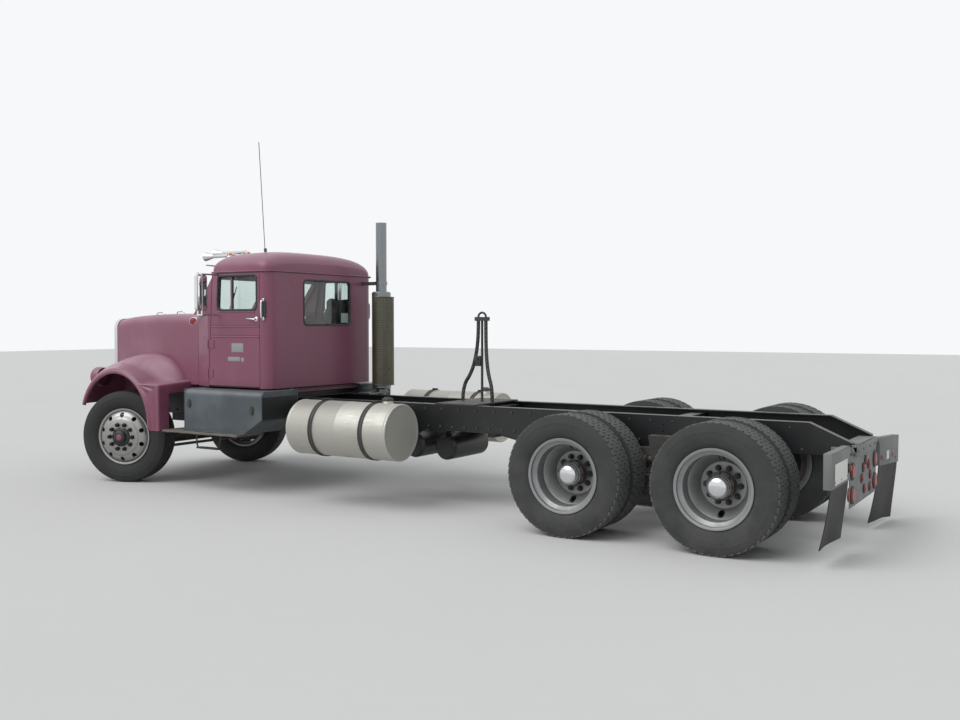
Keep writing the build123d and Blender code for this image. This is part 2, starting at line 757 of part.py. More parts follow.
def cab_front():
    """Cowl, firewall and the screen pillars, with the screen opening cut through."""
    z0 = cab_floor_z
    back_x = door_edge(screen_base_z) - 5
    plan = [(back_x, cab_half_width), (door_front_x + 10, cab_half_width), (cowl_x, cowl_half_width),
            (cowl_x, -cowl_half_width), (door_front_x + 10, -cab_half_width), (back_x, -cab_half_width)]
    lower = plan_plate(plan, (z0, screen_base_z))
    hollow = [(back_x - 1, cab_half_width - cab_wall), (door_front_x + 20, cab_half_width - cab_wall),
              (cowl_x - 60, cowl_half_width - 55), (cowl_x - 60, -cowl_half_width + 55),
              (door_front_x + 20, -cab_half_width + cab_wall), (back_x - 1, -cab_half_width + cab_wall)]
    lower -= plan_plate(hollow, (z0 - 1, screen_base_z - 35))
    lower -= block((back_x - 1, screen_base_x - 130), (55 - cab_half_width, cab_half_width - 55),
                   (screen_base_z - 36, screen_base_z + 1))
    lower -= block((cowl_x - 70, cowl_x + 1), (-289, 289), (z0 - 1, z0 + 304))
    pillar_y = cab_half_width - 25
    upper_outline = [(back_x, screen_base_z), (screen_base_x, screen_base_z),
                     (screen_top_x, cab_eave_z), (door_edge(cab_eave_z) - 60, cab_eave_z)]
    upper = side_plate(upper_outline, (-pillar_y, pillar_y))
    inside = [(back_x - 300, screen_base_z - 1), (screen_base_x - 75, screen_base_z - 1),
              (screen_top_x - 75, cab_eave_z + 1), (back_x - 300, cab_eave_z + 1)]
    upper -= side_plate(inside, (-pillar_y + 60, pillar_y - 60))
    for side in (-1, 1):
        upper -= side_plate(screen_outline(screen_margin, 60, -160),
                            sorted_pair(side * screen_post_half, side * (pillar_y - 85)))
    shell = lower + upper
    gap = door_gap / 2
    clear = [(back_x - 400, door_bottom_z - 40), (door_edge(door_bottom_z - 40) + gap, door_bottom_z - 40),
             (door_edge(cab_eave_z + 5) + gap, cab_eave_z + 5), (back_x - 400, cab_eave_z + 5)]
    for side in (-1, 1):
        shell -= side_plate(clear, sorted_pair(side * (cab_half_width + 10),
                                               side * (cab_half_width - door_thickness - door_gap)))
    return shell


def screen_outline(margin, ahead, behind):
    """Side view of the sloped screen opening, between two planes along X."""
    slope = (screen_base_x - screen_top_x) / (screen_top_z - screen_base_z)
    low = screen_base_z + margin
    high = screen_top_z - margin
    low_x = screen_base_x - slope * margin
    high_x = screen_base_x - slope * (high - screen_base_z)
    return [(low_x + ahead, low), (high_x + ahead, high), (high_x + behind, high), (low_x + behind, low)]


def roof_shape(wall=0.0):
    """The low crowned roof over the eaves, as a solid, set in by a wall."""
    crown = cab_crown_z - cab_eave_z

    def section(x, half_width, height):
        half = half_width - wall
        rise = height - wall
        top = cab_eave_z + rise
        steps = [(-half, cab_eave_z), (-half, cab_eave_z + 20),
                 (-half + 95, cab_eave_z + rise * 0.62 + 12, -half + 300, top - 12),
                 (0, top, half - 300, top - 12),
                 (half - 95, cab_eave_z + rise * 0.62 + 12, half, cab_eave_z + 20), (half, cab_eave_z)]
        return outline(steps, lambda y, z: (x, y, z))

    front_x = screen_top_x + 10
    return loft([section(cab_back_x + 2 + wall, cab_half_width - 70, crown * 0.50),
                 section(cab_back_x + 35 + wall, cab_half_width - 30, crown * 0.72),
                 section(cab_back_x + 120, cab_half_width, crown * 0.90),
                 section(cab_back_x + 330, cab_half_width, crown),
                 section(front_x - 140, cab_half_width, crown * 0.97),
                 section(front_x - 45 - wall, cab_half_width - 8, crown * 0.82),
                 section(front_x - wall, cab_half_width - 25, crown * 0.62)], ruled=True)


def cab_roof():
    return roof_shape() - Pos(0, 0, -1) * roof_shape(cab_wall)


def cab_glass():
    """The windscreen's two panes and the back window, each fixed in its opening."""
    half = cab_half_width - 25 - 85
    panes = [side_plate(screen_outline(screen_margin, -24, -24 - glass_thickness * 1.4),
                        sorted_pair(side * screen_post_half, side * half)) for side in (-1, 1)]
    back = block((cab_back_x + 10, cab_back_x + 10 + glass_thickness), rear_window_ys,
                 (rear_window_bottom_z, rear_window_top_z))
    back = fillet(back.edges().filter_by(Axis.X), rear_window_corner)
    return together(panes + [back])


def dashboard():
    """Dash across the cab with the steering column rising from it."""
    x1 = cowl_x - 75
    dash = side_plate([(x1, 1560), (x1, screen_base_z - 45), (x1 - 210, screen_base_z - 60),
                       (x1 - 300, 1780), (x1 - 260, 1580)], (-660, 660))
    ends = [(wheel_x + reach * cos(radians(column_tilt)), seat_y, wheel_z - reach * sin(radians(column_tilt)))
            for reach in (column_length, 12.0 + pivot_gap)]
    return dash + rod(*ends, 28)


def steering_wheel():
    """Rim, two spokes and boss, square to the column."""
    rim = Torus(wheel_rim_radius, 15)
    boss = Pos(0, 0, 5) * Cylinder(52, 34)
    spokes = Box(2 * wheel_rim_radius, 34, 14) - Cylinder(30, 20)
    wheel = rim + boss + spokes
    return Pos(wheel_x, seat_y, wheel_z) * Rot(0, -(90 - column_tilt), 0) * wheel


# Doors
def door_outline(inset):
    """Side view of a door: a sloped front edge, rounded where it meets the roof."""
    return [(door_back_x + inset, door_bottom_z + inset), (door_back_x + inset, door_top_z - inset),
            (door_edge(door_top_z - inset) - inset, door_top_z - inset),
            (door_edge(door_bottom_z + inset) - inset, door_bottom_z + inset)]


def door(side):
    y = cab_half_width
    panel = side_plate(door_outline(door_gap / 2), (y - door_thickness, y))
    window = [(door_back_x + 45, door_window_sill_z), (door_back_x + 45, door_window_top_z),
              (door_edge(door_window_top_z) - window_frame, door_window_top_z),
              (door_edge(door_window_sill_z) - window_frame, door_window_sill_z)]
    panel -= side_plate(window, (y - door_thickness - 1, y + 1))
    post_x = door_front_x - vent_post_back
    panel = panel + block((post_x - 9, post_x + 9), (y - 34, y - 10),
                          (door_window_sill_z - 1, door_window_top_z + 1))
    low = door_bottom_z + 70
    high = door_window_sill_z - 60
    hollow = [(door_back_x + 60, low), (door_back_x + 60, high),
              (door_edge(high) - window_frame - 10, high), (door_edge(low) - window_frame - 10, low)]
    panel -= side_plate(hollow, (y - door_thickness - 1, y - door_thickness + 12))
    for low, high in hinge_rows:
        barrel = rod((door_front_x, hinge_pin_y, low), (door_front_x, hinge_pin_y, high), hinge_pin_radius)
        leaf = block((door_edge(high) - 60, door_front_x), (y - 1, y + 6), (low, high))
        leaf -= block((door_edge(high) - 3, door_front_x + 1), (y - 2, y + 1), (low - 1, high + 1))
        panel = panel + barrel + leaf
    return panel if side > 0 else mirrored(panel)


def door_glass(side):
    """Drop glass and vent pane, set in the door's window."""
    post_x = door_front_x - vent_post_back
    low = door_window_sill_z
    high = door_window_top_z
    ys = (cab_half_width - 25, cab_half_width - 25 + glass_thickness)
    main = block((door_back_x + 45, post_x - 9), ys, (low, high))
    vent = side_plate([(post_x + 9, low), (post_x + 9, high), (door_edge(high) - window_frame, high),
                       (door_edge(low) - window_frame, low)], ys)
    pair = together([main, vent])
    return pair if side > 0 else mirrored(pair)


def mirror_set(side):
    """Tall glass in a shell on two upright tubes, braced to the door top and bottom."""
    y = mirror_y
    x = mirror_x
    shell = block((x - 22, x + 22), (y - 70, y + 70), (1970, 2355))
    shell = fillet(shell.edges().filter_by(Axis.X), 30)
    posts = rod((x + 45, y, 1912), (x + 45, y, 2385), 12)
    for z in (2370, 1927):
        posts = posts + rod((x + 45, y, z), (x + 45, cab_half_width, z), 11)
        posts = posts + rod((x - 15, y, z - 5), (x + 45, y, z), 9)
    posts = posts + rod((x - 15, y, 1920), (x - 15, y, 2372), 10)
    piece = shell + posts
    return piece if side > 0 else mirrored(piece)


# Hood and fenders
def hood_section(x, half_width, top, bottom, radius, inset=0.0):
    w = half_width - inset
    t = top - inset
    bulge = radius * (1 - cos(radians(45)))
    steps = [(-w, bottom), (-w, t - radius), (-w + bulge, t - bulge, -w + radius, t),
             (w - radius, t), (w - bulge, t - bulge, w, t - radius), (w, bottom)]
    return outline(steps, lambda y, z: (x, y, z))


def hood_rows():
    """Hood stations: x, half width, top and lower edge."""
    front_x = front_axle_x + front_overhang - grille_depth
    mid_x = (front_x + hood_back_x) / 2
    rows = ((hood_back_x, hood_back_half_width, hood_back_top_z, hood_bottom_z),
            (mid_x, (hood_back_half_width + hood_front_half_width) / 2 + 6, 1945.0, 1100.0),
            (front_x, hood_front_half_width, hood_front_top_z, hood_front_bottom_z))
    return rows


def hood_envelope():
    return loft([hood_section(x, w, t, b, hood_edge_radius) for x, w, t, b in hood_rows()], ruled=True)


def hood():
    """Top and sides of the hood, open below, at the front for the grille and at the cowl."""
    rows = hood_rows()
    front_x = rows[2][0]
    outer = hood_envelope()
    back, mid, front = rows
    inner_rows = ((back[0] - 1,) + back[1:3] + (back[3] - 60,), mid[:3] + (mid[3] - 60,),
                  (front[0] + 1,) + front[1:3] + (front[3] - 60,))
    inner = loft([hood_section(x, w, t, b, hood_edge_radius - hood_wall, hood_wall)
                  for x, w, t, b in inner_rows], ruled=True)
    shell = outer - inner
    ear_x = (hood_hinge_x - 45, front_x - 6)
    for side in (-1, 1):
        ys = sorted_pair(side * (hood_front_half_width - hood_wall - 30),
                         side * (hood_front_half_width - hood_wall + 2))
        ear = block(ear_x, ys, (hood_hinge_z - 45, hood_front_bottom_z + 130))
        ear -= rod((hood_hinge_x, ys[0] - 5, hood_hinge_z), (hood_hinge_x, ys[1] + 5, hood_hinge_z),
                   hood_pin_radius + pivot_gap)
        shell = shell + ear
    return shell


def fender_outline(inset, y, row):
    """The fender's side view at one distance from the truck's middle, set in by a wall."""
    arc_x, arc_z, radius, shelf, has_nose = row
    r = radius - inset
    top = shelf - inset
    join_x = arc_x - sqrt(r * r - (top - arc_z) ** 2)
    mid_x = (arc_x + join_x) / 2 - r * 0.13
    mid_z = arc_z + sqrt(r * r - (mid_x - arc_x) ** 2)
    if has_nose:
        front = fender_nose_x - inset
        high = fender_nose_z - inset
        corner = fender_nose_corner
        bulge = corner * (1 - cos(radians(45)))
        ridge = [(front, high - corner), (front - bulge, high - bulge, front - corner, high),
                 ((front - corner + arc_x) / 2, (high + arc_z + r) / 2 + 14, arc_x, arc_z + r)]
    else:
        def rim(degrees):
            return (arc_x + r * sin(radians(degrees)), arc_z + r * cos(radians(degrees)))

        ridge = [rim(72), (*rim(62), *rim(52)), (*rim(26), *rim(0))]
    back_x = fender_back_x + inset
    low = fender_bottom_z - (50 if inset else 0)
    steps = [(ridge[0][0], low)] + ridge + [(mid_x, mid_z, join_x, top), (back_x, top), (back_x, low)]
    return outline(steps, lambda x, z: (x, y, z))


def fender_skin(inset):
    """The loft from beside the hood, over the ridge, out to the wheel opening."""
    crest = (fender_crest_x, fender_crest_z, fender_crest_radius, shelf_z + 30, True)
    arch = (fender_arc_x, fender_arc_z, fender_arc_radius, shelf_z, False)
    overrun = 5 if inset else 0
    rows = ((fender_inner_y - overrun, crest), (fender_nose_y, crest), (fender_outer_y - inset, arch))
    return loft([fender_outline(inset, y, row) for y, row in rows], ruled=True)


def fender(side):
    """Crowned shell over the wheel, with a flat lip round the opening and a boxed rear corner."""
    low = fender_bottom_z
    inner = fender_skin(fender_wall)
    shell = fender_skin(0) - inner
    lip = (fender_outer_y - 60, fender_outer_y + 10)
    opening_radius = fender_arc_radius - fender_lip
    opening = rod((fender_arc_x, lip[0], fender_arc_z), (fender_arc_x, lip[1], fender_arc_z), opening_radius)
    opening = opening + block((fender_arc_x - opening_radius, fender_arc_x + opening_radius), lip,
                              (low - 10, fender_arc_z))
    shell -= opening
    shell -= block((fender_arc_x, fender_arc_x + 900), (fender_inner_y - 10, fender_outer_y + 10),
                   (low - 60, fender_front_z))
    shell -= block((fender_back_x - 20, fender_back_x + 60), (fender_inner_y - 10, leg_inner_y),
                   (low - 20, shelf_z - 70))
    pod = rod((lamp_pod_x - 330, lamp_pod_y, lamp_pod_z), (lamp_pod_x, lamp_pod_y, lamp_pod_z),
              lamp_pod_radius)
    shell = shell + (pod - inner) - hood_envelope() - lamp_bore()
    return shell if side > 0 else mirrored(shell)


def fenders():
    return together([fender(1), fender(-1)])


def grille_surround():
    """Bright frame round the grille opening, rounded at the top."""
    w = hood_front_half_width + 4
    top = hood_front_top_z + 6
    x0 = grille_front_x - grille_depth
    outer = cross_plate([(-w, grille_low_z - 40), (w, grille_low_z - 40), (w, top - 116),
                         (w - 35, top - 34, w - 120, top), (120 - w, top), (35 - w, top - 34, -w, top - 116)],
                        (x0, grille_front_x))
    cut = block((x0 - 1, grille_front_x + 1), (-w + 70, w - 70), (grille_low_z + 25, grille_high_z - 40))
    cut = fillet(cut.edges().filter_by(Axis.X), 40)
    return outer - cut


def grille_bars():
    """Upright bars in the opening, carried by rails at top and bottom."""
    w = hood_front_half_width - 68
    x0 = grille_front_x - grille_depth + 8
    low = grille_low_z + 27
    high = grille_high_z - 42
    bars = block((x0, x0 + 14), (-w, w), (low, low + 30)) + block((x0, x0 + 14), (-w, w), (high - 30, high))
    bars = bars + block((x0, x0 + 14), (-w, w), ((low + high) / 2 - 10, (low + high) / 2 + 10))
    count = 17
    for number in range(count):
        y = -w + 12 + (2 * w - 24) * number / (count - 1)
        bars = bars + block((x0 + 4, x0 + 26), (y - 6, y + 6), (low + 5, high - 5))
    frame_cut = block((x0 - 10, x0 + 60), (-w, w), (low, high))
    frame_cut = fillet(frame_cut.edges().filter_by(Axis.X), 38)
    return bars & frame_cut


def lamp_bore():
    """The hole in the pod's front that the left lamp sits in."""
    return rod((lamp_pod_x - 40, lamp_pod_y, lamp_pod_z), (lamp_pod_x + 1, lamp_pod_y, lamp_pod_z),
               headlamp_radius)


def headlamps():
    """A round lamp with a bulged lens in each fender's pod."""
    edge = headlamp_radius - 3
    lens = turned([(0, -39), (0, 16), (headlamp_radius * 0.6, 9, edge, -6), (edge, -39)], (0, 0, 0))
    return both_sides(Pos(lamp_pod_x, lamp_pod_y, lamp_pod_z) * Rot(0, 0, -90) * lens)


# Side equipment
def step_boxes():
    """Tread-plate boxes under the doors, with a rolled top edge and a sloped rear."""
    roll = 70.0
    steps = [(box_inner_y, box_bottom_z), (box_outer_y, box_bottom_z), (box_outer_y, box_top_z - roll),
             (box_outer_y - roll * 0.29, box_top_z - roll * 0.29, box_outer_y - roll, box_top_z),
             (box_inner_y, box_top_z)]
    box = cross_plate(steps, (box_back_x, box_front_x))
    slope_end = (box_back_x + box_slope_length, box_bottom_z - 1)
    box -= side_plate([(box_back_x - 1, box_bottom_z - 1), (box_back_x - 1, box_slope_z), slope_end],
                      (box_inner_y - 1, box_outer_y + 1))
    return both_sides(box)


def step_boards():
    """Worn board along each box, and the stirrup step that hangs below it."""
    top = box_bottom_z - 1
    board = block((box_back_x + 300, fender_back_x - 30), (box_inner_y + 240, box_outer_y + 60),
                  (top - 24, top))
    x0 = box_front_x - 560
    x1 = box_front_x - 190
    z = top - 24
    stirrup = rod((x0, box_outer_y, z + 2), (x0 + 40, box_outer_y, z - 145), 9)
    stirrup = stirrup + rod((x1, box_outer_y, z + 2), (x1 - 20, box_outer_y, z - 145), 9)
    stirrup = stirrup + block((x0 + 30, x1 - 10), (box_outer_y - 60, box_outer_y + 20), (z - 160, z - 140))
    return both_sides(board + stirrup)


def fuel_tanks():
    """Aluminium cylinders with slightly domed ends and a raised filler neck."""
    x0 = tank_back_x
    x1 = tank_back_x + tank_length
    shell = rod((x0, tank_y, tank_z), (x1, tank_y, tank_z), tank_radius)
    shell = chamfer(shell.edges().filter_by(GeomType.CIRCLE), 18)
    neck_x = x0 + 200
    neck_y = tank_y - 40
    neck = rod((neck_x, neck_y, tank_z + tank_radius - 40), (neck_x, neck_y, tank_z + tank_radius + 55), 50)
    return both_sides(shell + neck)


def tank_straps():
    """Straps round each tank and the brackets that hold it off the rail."""
    pieces = []
    for offset in strap_offsets:
        x = tank_back_x + offset
        ring = rod((x, tank_y, tank_z), (x + strap_width, tank_y, tank_z),
                   tank_radius + strap_thickness, tank_radius)
        arm = block((x, x + strap_width), (rail_y, tank_y - tank_radius + 130),
                    (tank_z - tank_radius - 20, tank_z + 190))
        arm -= rod((x - 1, tank_y, tank_z), (x + strap_width + 1, tank_y, tank_z), tank_radius)
        arm -= block((x - 1, x + strap_width + 1), (rail_y - 1, tank_y), (0, rail_bottom - 200))
        pieces.append(ring + arm)
    return both_sides(together(pieces))


def air_tanks():
    """Brake reservoirs below the rails, across the truck."""
    pieces = []
    z = 575.0
    for x in (drive_axle_xs[0] + 1770, drive_axle_xs[0] + 2160):
        tank = rod((x, -330, z), (x, 330, z), 130)
        tank = chamfer(tank.edges().filter_by(GeomType.CIRCLE), 25)
        for y in (-250, 250):
            tank = tank + block((x - 30, x + 30), (y - 20, y + 20), (z, rail_bottom))
            foot_ys = sorted_pair(y, y / abs(y) * rail_y)
            tank = tank + block((x - 30, x + 30), foot_ys, (rail_bottom - 12, rail_bottom))
        pieces.append(tank)
    return together(pieces)


def exhaust_stack():
    """Muffler and tail pipe behind the cab, and the pipe that comes from the engine below it."""
    pipe = rod((stack_x, stack_y, 2200), (stack_x, stack_y, stack_top_z), stack_radius, stack_radius - 5)
    body = rod((stack_x, stack_y, stack_plate_z + 30), (stack_x, stack_y, 2210), muffler_radius)
    body = chamfer(body.edges().filter_by(GeomType.CIRCLE), 15)
    body -= rod((stack_x, stack_y, 2195), (stack_x, stack_y, 2300), stack_radius - 5)
    engine_x = cowl_x + 170
    over_rail_z = rail_top + pipe_radius + 14
    route = FilletPolyline((stack_x, stack_y, stack_plate_z + 40), (stack_x, stack_y, pipe_z),
                           (stack_x + 125, pipe_y, pipe_z), (engine_x - 100, pipe_y, pipe_z),
                           (engine_x, pipe_y, over_rail_z), (engine_x, -270, over_rail_z), radius=80)
    inlet = sweep(Plane(origin=route @ 0, z_dir=route % 0) * Circle(pipe_radius), path=route)
    bracket = block((stack_x + 60, cab_back_x), (stack_y - 25, stack_y + 25), (2290, 2330))
    ring = rod((stack_x, stack_y, 2290), (stack_x, stack_y, 2330), stack_radius + 8, stack_radius)
    plate = block((stack_x - 90, stack_x + 90), (stack_y - 60, 80 - rail_y), (rail_top, stack_plate_z))
    foot = rod((stack_x, stack_y, stack_plate_z - 5), (stack_x, stack_y, stack_plate_z + 35), 62)
    return pipe + body + inlet + bracket + ring + plate + foot


def stack_shield():
    """Half-round guard round the muffler, facing back and outwards, with its rows of slots."""
    low = 1110.0
    high = 2150.0
    guard = rod((stack_x, stack_y, low), (stack_x, stack_y, high), shield_radius, shield_radius - 5)
    guard -= block((stack_x + 20, stack_x + 200), (stack_y - 200, stack_y + 200), (low - 1, high + 1))
    slot_length = (high - low - 80) / shield_rows - shield_bridge
    slots = []
    for row in range(shield_rows):
        z = low + 40 + shield_bridge / 2 + row * (slot_length + shield_bridge)
        for column in range(shield_columns):
            angle = shield_first_angle + column * shield_angle_step
            slot = block((shield_radius - 20, shield_radius + 10),
                         (-shield_slot_width / 2, shield_slot_width / 2), (z, z + slot_length))
            slots.append(Pos(stack_x, stack_y, 0) * Rot(0, 0, angle) * slot)
    guard = guard - slots
    for z in (low + 40, high - 60):
        clip = rod((stack_x, stack_y, z), (stack_x, stack_y, z + 20), shield_radius - 4, muffler_radius)
        clip -= block((stack_x + 20, stack_x + 200), (stack_y - 200, stack_y + 200), (z - 1, z + 21))
        guard = guard + clip
    return guard


def hose_stand():
    """Post on the frame that holds the trailer hoses up, bent over at the top."""
    base = block((hose_x - 180, hose_x + 290), (-rail_y, rail_y), (rail_top, rail_top + 12))
    post = rod((hose_x, 0, rail_top + 12), (hose_x, 0, hose_clamp_z), 13)
    clamp = block((hose_x - 75, hose_x + 75), (-28, 28), (hose_clamp_z - 40, hose_clamp_z))
    arch = Pos(hose_x, 0, hose_clamp_z) * Rot(90, 0, 0) * (Torus(45, 11) & Pos(0, 100, 0) * Box(300, 200, 60))
    return base + post + clamp + arch


def hose(name):
    radius, points = hose_routes[name]
    points = [Vector(hose_x + x, y, z) for x, y, z in points]
    radii = []
    for before, here, after in zip(points, points[1:], points[2:]):
        turn = radians((here - before).get_angle(after - here))
        shorter = min((here - before).length, (after - here).length)
        radii.append(0.45 * shorter / sin(turn / 2) * cos(turn / 2))
    print(name, "bend radii", [round(value) for value in radii])
    path = FilletPolyline(*points, radius=radii)
    return sweep(Plane(origin=path @ 0, z_dir=path % 0) * Circle(radius), path=path)


# Rear


def bent(shape, side, droop, swing):
    """Turn a hanger or flap about the end of its arm at the rail."""
    joint = Pos(hanger_x + hanger_depth / 2, side * rail_y, hanger_arm_z)
    return joint * Rot(-side * droop, 0, side * swing) * joint.inverse() * shape


def mudflap_hangers():
    """Folded sheet brackets, each carried on a round arm from the rail's end."""
    pieces = []
    x0 = hanger_x
    x1 = hanger_x + hanger_depth
    arm_x = (x0 + x1) / 2
    for side, low, high, _, droop, swing in hanger_rows:
        ys = sorted_pair(side * hanger_inner_y, side * hanger_outer_y)
        bracket = block((x0, x1), ys, (low, high))
        bracket -= block((x0 + hanger_sheet, x1 + 1), (ys[0] + hanger_sheet, ys[1] - hanger_sheet),
                         (low - 1, high - hanger_sheet))
        arm = rod((arm_x, side * (rail_y + 8), hanger_arm_z),
                  (arm_x, side * (hanger_outer_y - 30), hanger_arm_z), 20)
        foot = block((rail_back_x + 2, rail_back_x + 160), sorted_pair(side * rail_y, side * (rail_y + 14)),
                     (hanger_arm_z - 30, hanger_arm_z + 30))
        neck = rod((arm_x, side * rail_y, hanger_arm_z), (arm_x, side * (rail_y + 24), hanger_arm_z), 22)
        pieces.append(bent(bracket + arm, side, droop, swing) + neck + foot)
    return together(pieces)


def mudflaps():
    """Rubber flaps clamped inside the brackets, their lower edges swept forward."""
    pieces = []
    x0 = hanger_x + hanger_sheet
    x1 = x0 + flap_thickness
    for side, low, _, bottom, droop, swing in hanger_rows:
        top = low + 90
        middle = (top + bottom) / 2
        steps = [(x0, top), (x0 + flap_sweep * 0.28, middle, x0 + flap_sweep, bottom),
                 (x1 + flap_sweep, bottom), (x1 + flap_sweep * 0.28, middle, x1, top)]
        ys = sorted_pair(side * (hanger_inner_y + 12), side * (hanger_outer_y - 12))
        pieces.append(bent(side_plate(steps, ys), side, droop, swing))
    return together(pieces)


# Roof pieces
def air_horns():
    """Two trumpets on short feet."""
    pieces = []
    for y, length, z in ((650.0, 560.0, cab_crown_z - 42), (500.0, 480.0, cab_crown_z + 2)):
        x1 = screen_top_x + 360
        bell = Pos(x1 - 60, y, z) * Rot(0, 90, 0) * Cone(22, 52, 120)
        body = rod((x1 - length, y, z), (x1 - 110, y, z), 20)
        foot = block((x1 - length + 20, x1 - length + 60), (y - 15, y + 15), (cab_eave_z + 120, z))
        pieces.append(bell + body + foot - roof_shape())
    return together(pieces)


def sun_visor():
    """Painted visor over the windscreen."""
    x0 = screen_top_x + 12
    x1 = x0 + 150
    steps = [(x0, cab_eave_z + 70), (x1, cab_eave_z + 88), (x1 + 2, cab_eave_z + 100), (x0, cab_eave_z + 88)]
    return side_plate(steps, (-cab_half_width + 60, cab_half_width - 60))


def antenna():
    whip = rod((cab_back_x + 400, 520, cab_eave_z + 150), (cab_back_x + 480, 530, 3850), 4)
    foot = rod((cab_back_x + 400, 520, cab_eave_z + 150), (cab_back_x + 402, 520, cab_crown_z + 30), 16)
    return whip + foot - roof_shape()


pieces = {
    "frame_rails": frame_rails(),
    "crossmembers": crossmembers(),
    "rear_crossmember": rear_crossmember(),
    "tail_lamps": tail_lamps(),
    "front_axle": front_axle(),
    "suspension": suspension(),
    "drive_axles": drive_axles(),
    "driveshafts": driveshafts(),
    "engine": engine(),
    "radiator": radiator(),
    "cab_floor": cab_floor(),
    "cab_rear_wall": cab_rear_wall(),
    "cab_front": cab_front(),
    "cab_roof": cab_roof(),
    "cab_glass": cab_glass(),
    "dashboard": dashboard(),
    "seats": seats(),
    "steering_wheel": steering_wheel(),
    "hood": hood(),
    "fenders": fenders(),
    "grille_surround": grille_surround(),
    "grille_bars": grille_bars(),
    "headlamps": headlamps(),
    "step_boxes": step_boxes(),
    "step_boards": step_boards(),
    "fuel_tanks": fuel_tanks(),
    "tank_straps": tank_straps(),
    "air_tanks": air_tanks(),
    "exhaust_stack": exhaust_stack(),
    "stack_shield": stack_shield(),
    "hose_stand": hose_stand(),
    "mudflap_hangers": mudflap_hangers(),
    "mudflaps": mudflaps(),
    "air_horns": air_horns(),
    "sun_visor": sun_visor(),
    "antenna": antenna(),
    "tie_rod": tie_rod(),
}
for name in hose_routes:
    pieces[name] = hose(name)
for side, word in ((1, "left"), (-1, "right")):
    pieces["door_" + word] = door(side)
    pieces["door_glass_" + word] = door_glass(side)
    pieces["mirror_" + word] = mirror_set(side)
    pieces["knuckle_" + word] = knuckle(side)
    pieces["front_wheel_" + word] = front_wheel(side)
    pieces["front_tyre_" + word] = front_tyre(side)
    for number, x in enumerate(drive_axle_xs, start=1):
        pieces[f"drive{number}_wheels_{word}"] = dual_rims(x, side)
        pieces[f"drive{number}_tyres_{word}"] = dual_tyres(x, side)

os.makedirs("parts", exist_ok=True)
for name, shape in pieces.items():
    export_step(shape, f"parts/{name}.step")
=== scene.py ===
import json
from math import atan2, cos, degrees, pi, radians, sin, sqrt

import bmesh
import bpy
from mathutils import Euler, Matrix, Vector


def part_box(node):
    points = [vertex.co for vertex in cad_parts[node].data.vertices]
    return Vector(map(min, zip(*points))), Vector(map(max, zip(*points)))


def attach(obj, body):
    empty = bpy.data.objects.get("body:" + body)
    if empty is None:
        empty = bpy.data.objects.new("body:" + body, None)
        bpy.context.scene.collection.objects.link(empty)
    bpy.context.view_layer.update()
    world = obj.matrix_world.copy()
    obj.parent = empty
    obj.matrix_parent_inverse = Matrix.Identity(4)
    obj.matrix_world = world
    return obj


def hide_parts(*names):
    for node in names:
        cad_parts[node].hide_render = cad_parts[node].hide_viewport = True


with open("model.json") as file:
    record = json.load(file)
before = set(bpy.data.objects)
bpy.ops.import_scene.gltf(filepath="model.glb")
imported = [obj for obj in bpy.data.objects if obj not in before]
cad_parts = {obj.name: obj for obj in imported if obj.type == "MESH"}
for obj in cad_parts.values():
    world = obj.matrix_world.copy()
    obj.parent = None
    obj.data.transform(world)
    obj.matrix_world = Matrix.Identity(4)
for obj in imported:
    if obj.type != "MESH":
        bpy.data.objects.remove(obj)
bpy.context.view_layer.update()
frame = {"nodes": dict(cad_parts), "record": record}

scene = bpy.context.scene
scene.view_settings.view_transform = "Standard"
print("frame loaded:", len(frame["nodes"]), "CAD nodes")


# the sign of y on each side, and the word in the names of its pieces
sides = ((1, "Left"), (-1, "Right"))


# small tools for meshes
def newPiece(name, data):
    piece = bpy.data.objects.new(name, data)
    scene.collection.objects.link(piece)
    return piece


def shift(x, y, z):
    return Matrix.Translation((x, y, z))


def spin(angle, axis):
    return Matrix.Rotation(radians(angle), 4, axis)


def blanks(count):
    return [bmesh.new() for n in range(count)]


def meshOf(bm, name, sharp=None):
    # turns the working mesh into a plain one; edges sharper than the angle stay sharp
    mesh = bpy.data.meshes.new(name)
    bm.to_mesh(mesh)
    bm.free()
    return mesh if sharp is None else smoothed(mesh, sharp)


def smoothed(mesh, sharp):
    mesh.shade_smooth()
    mesh.set_sharp_from_angle(angle=radians(sharp))
    return mesh


def evaluated(piece):
    return bpy.data.meshes.new_from_object(piece.evaluated_get(bpy.context.evaluated_depsgraph_get()))


def closeMesh(bm, name, sharp=34.0):
    bmesh.ops.remove_doubles(bm, verts=bm.verts, dist=0.00002)
    bmesh.ops.recalc_face_normals(bm, faces=bm.faces)
    return newPiece(name, meshOf(bm, name, sharp))


def closeEnds(bm):
    bmesh.ops.holes_fill(bm, edges=[edge for edge in bm.edges if edge.is_boundary], sides=0)


def settle(piece, sharp=34.0):
    # the modifiers' result becomes the piece's own mesh
    mesh = evaluated(piece)
    piece.modifiers.clear()
    piece.data = smoothed(mesh, sharp)
    return piece


def walled(piece, thickness, sharp=34.0):
    # gives a skin its thickness, inwards
    wall = piece.modifiers.new("wall", "SOLIDIFY")
    wall.thickness = thickness
    wall.offset = -1
    return settle(piece, sharp)


def topOutward(piece):
    if max(piece.data.polygons, key=lambda face: face.center.z).normal.z < 0:
        piece.data.flip_normals()


def addRod(bm, start, end, radius, sides=18, tip=None):
    start, end = Vector(start), Vector(end)
    way = end - start
    turn = way.to_track_quat("Z", "Y").to_matrix().to_4x4()
    bmesh.ops.create_cone(bm, cap_ends=True, segments=sides, radius1=radius, radius2=radius if tip is None else tip,
        depth=way.length, matrix=Matrix.Translation((start + end) / 2) @ turn)


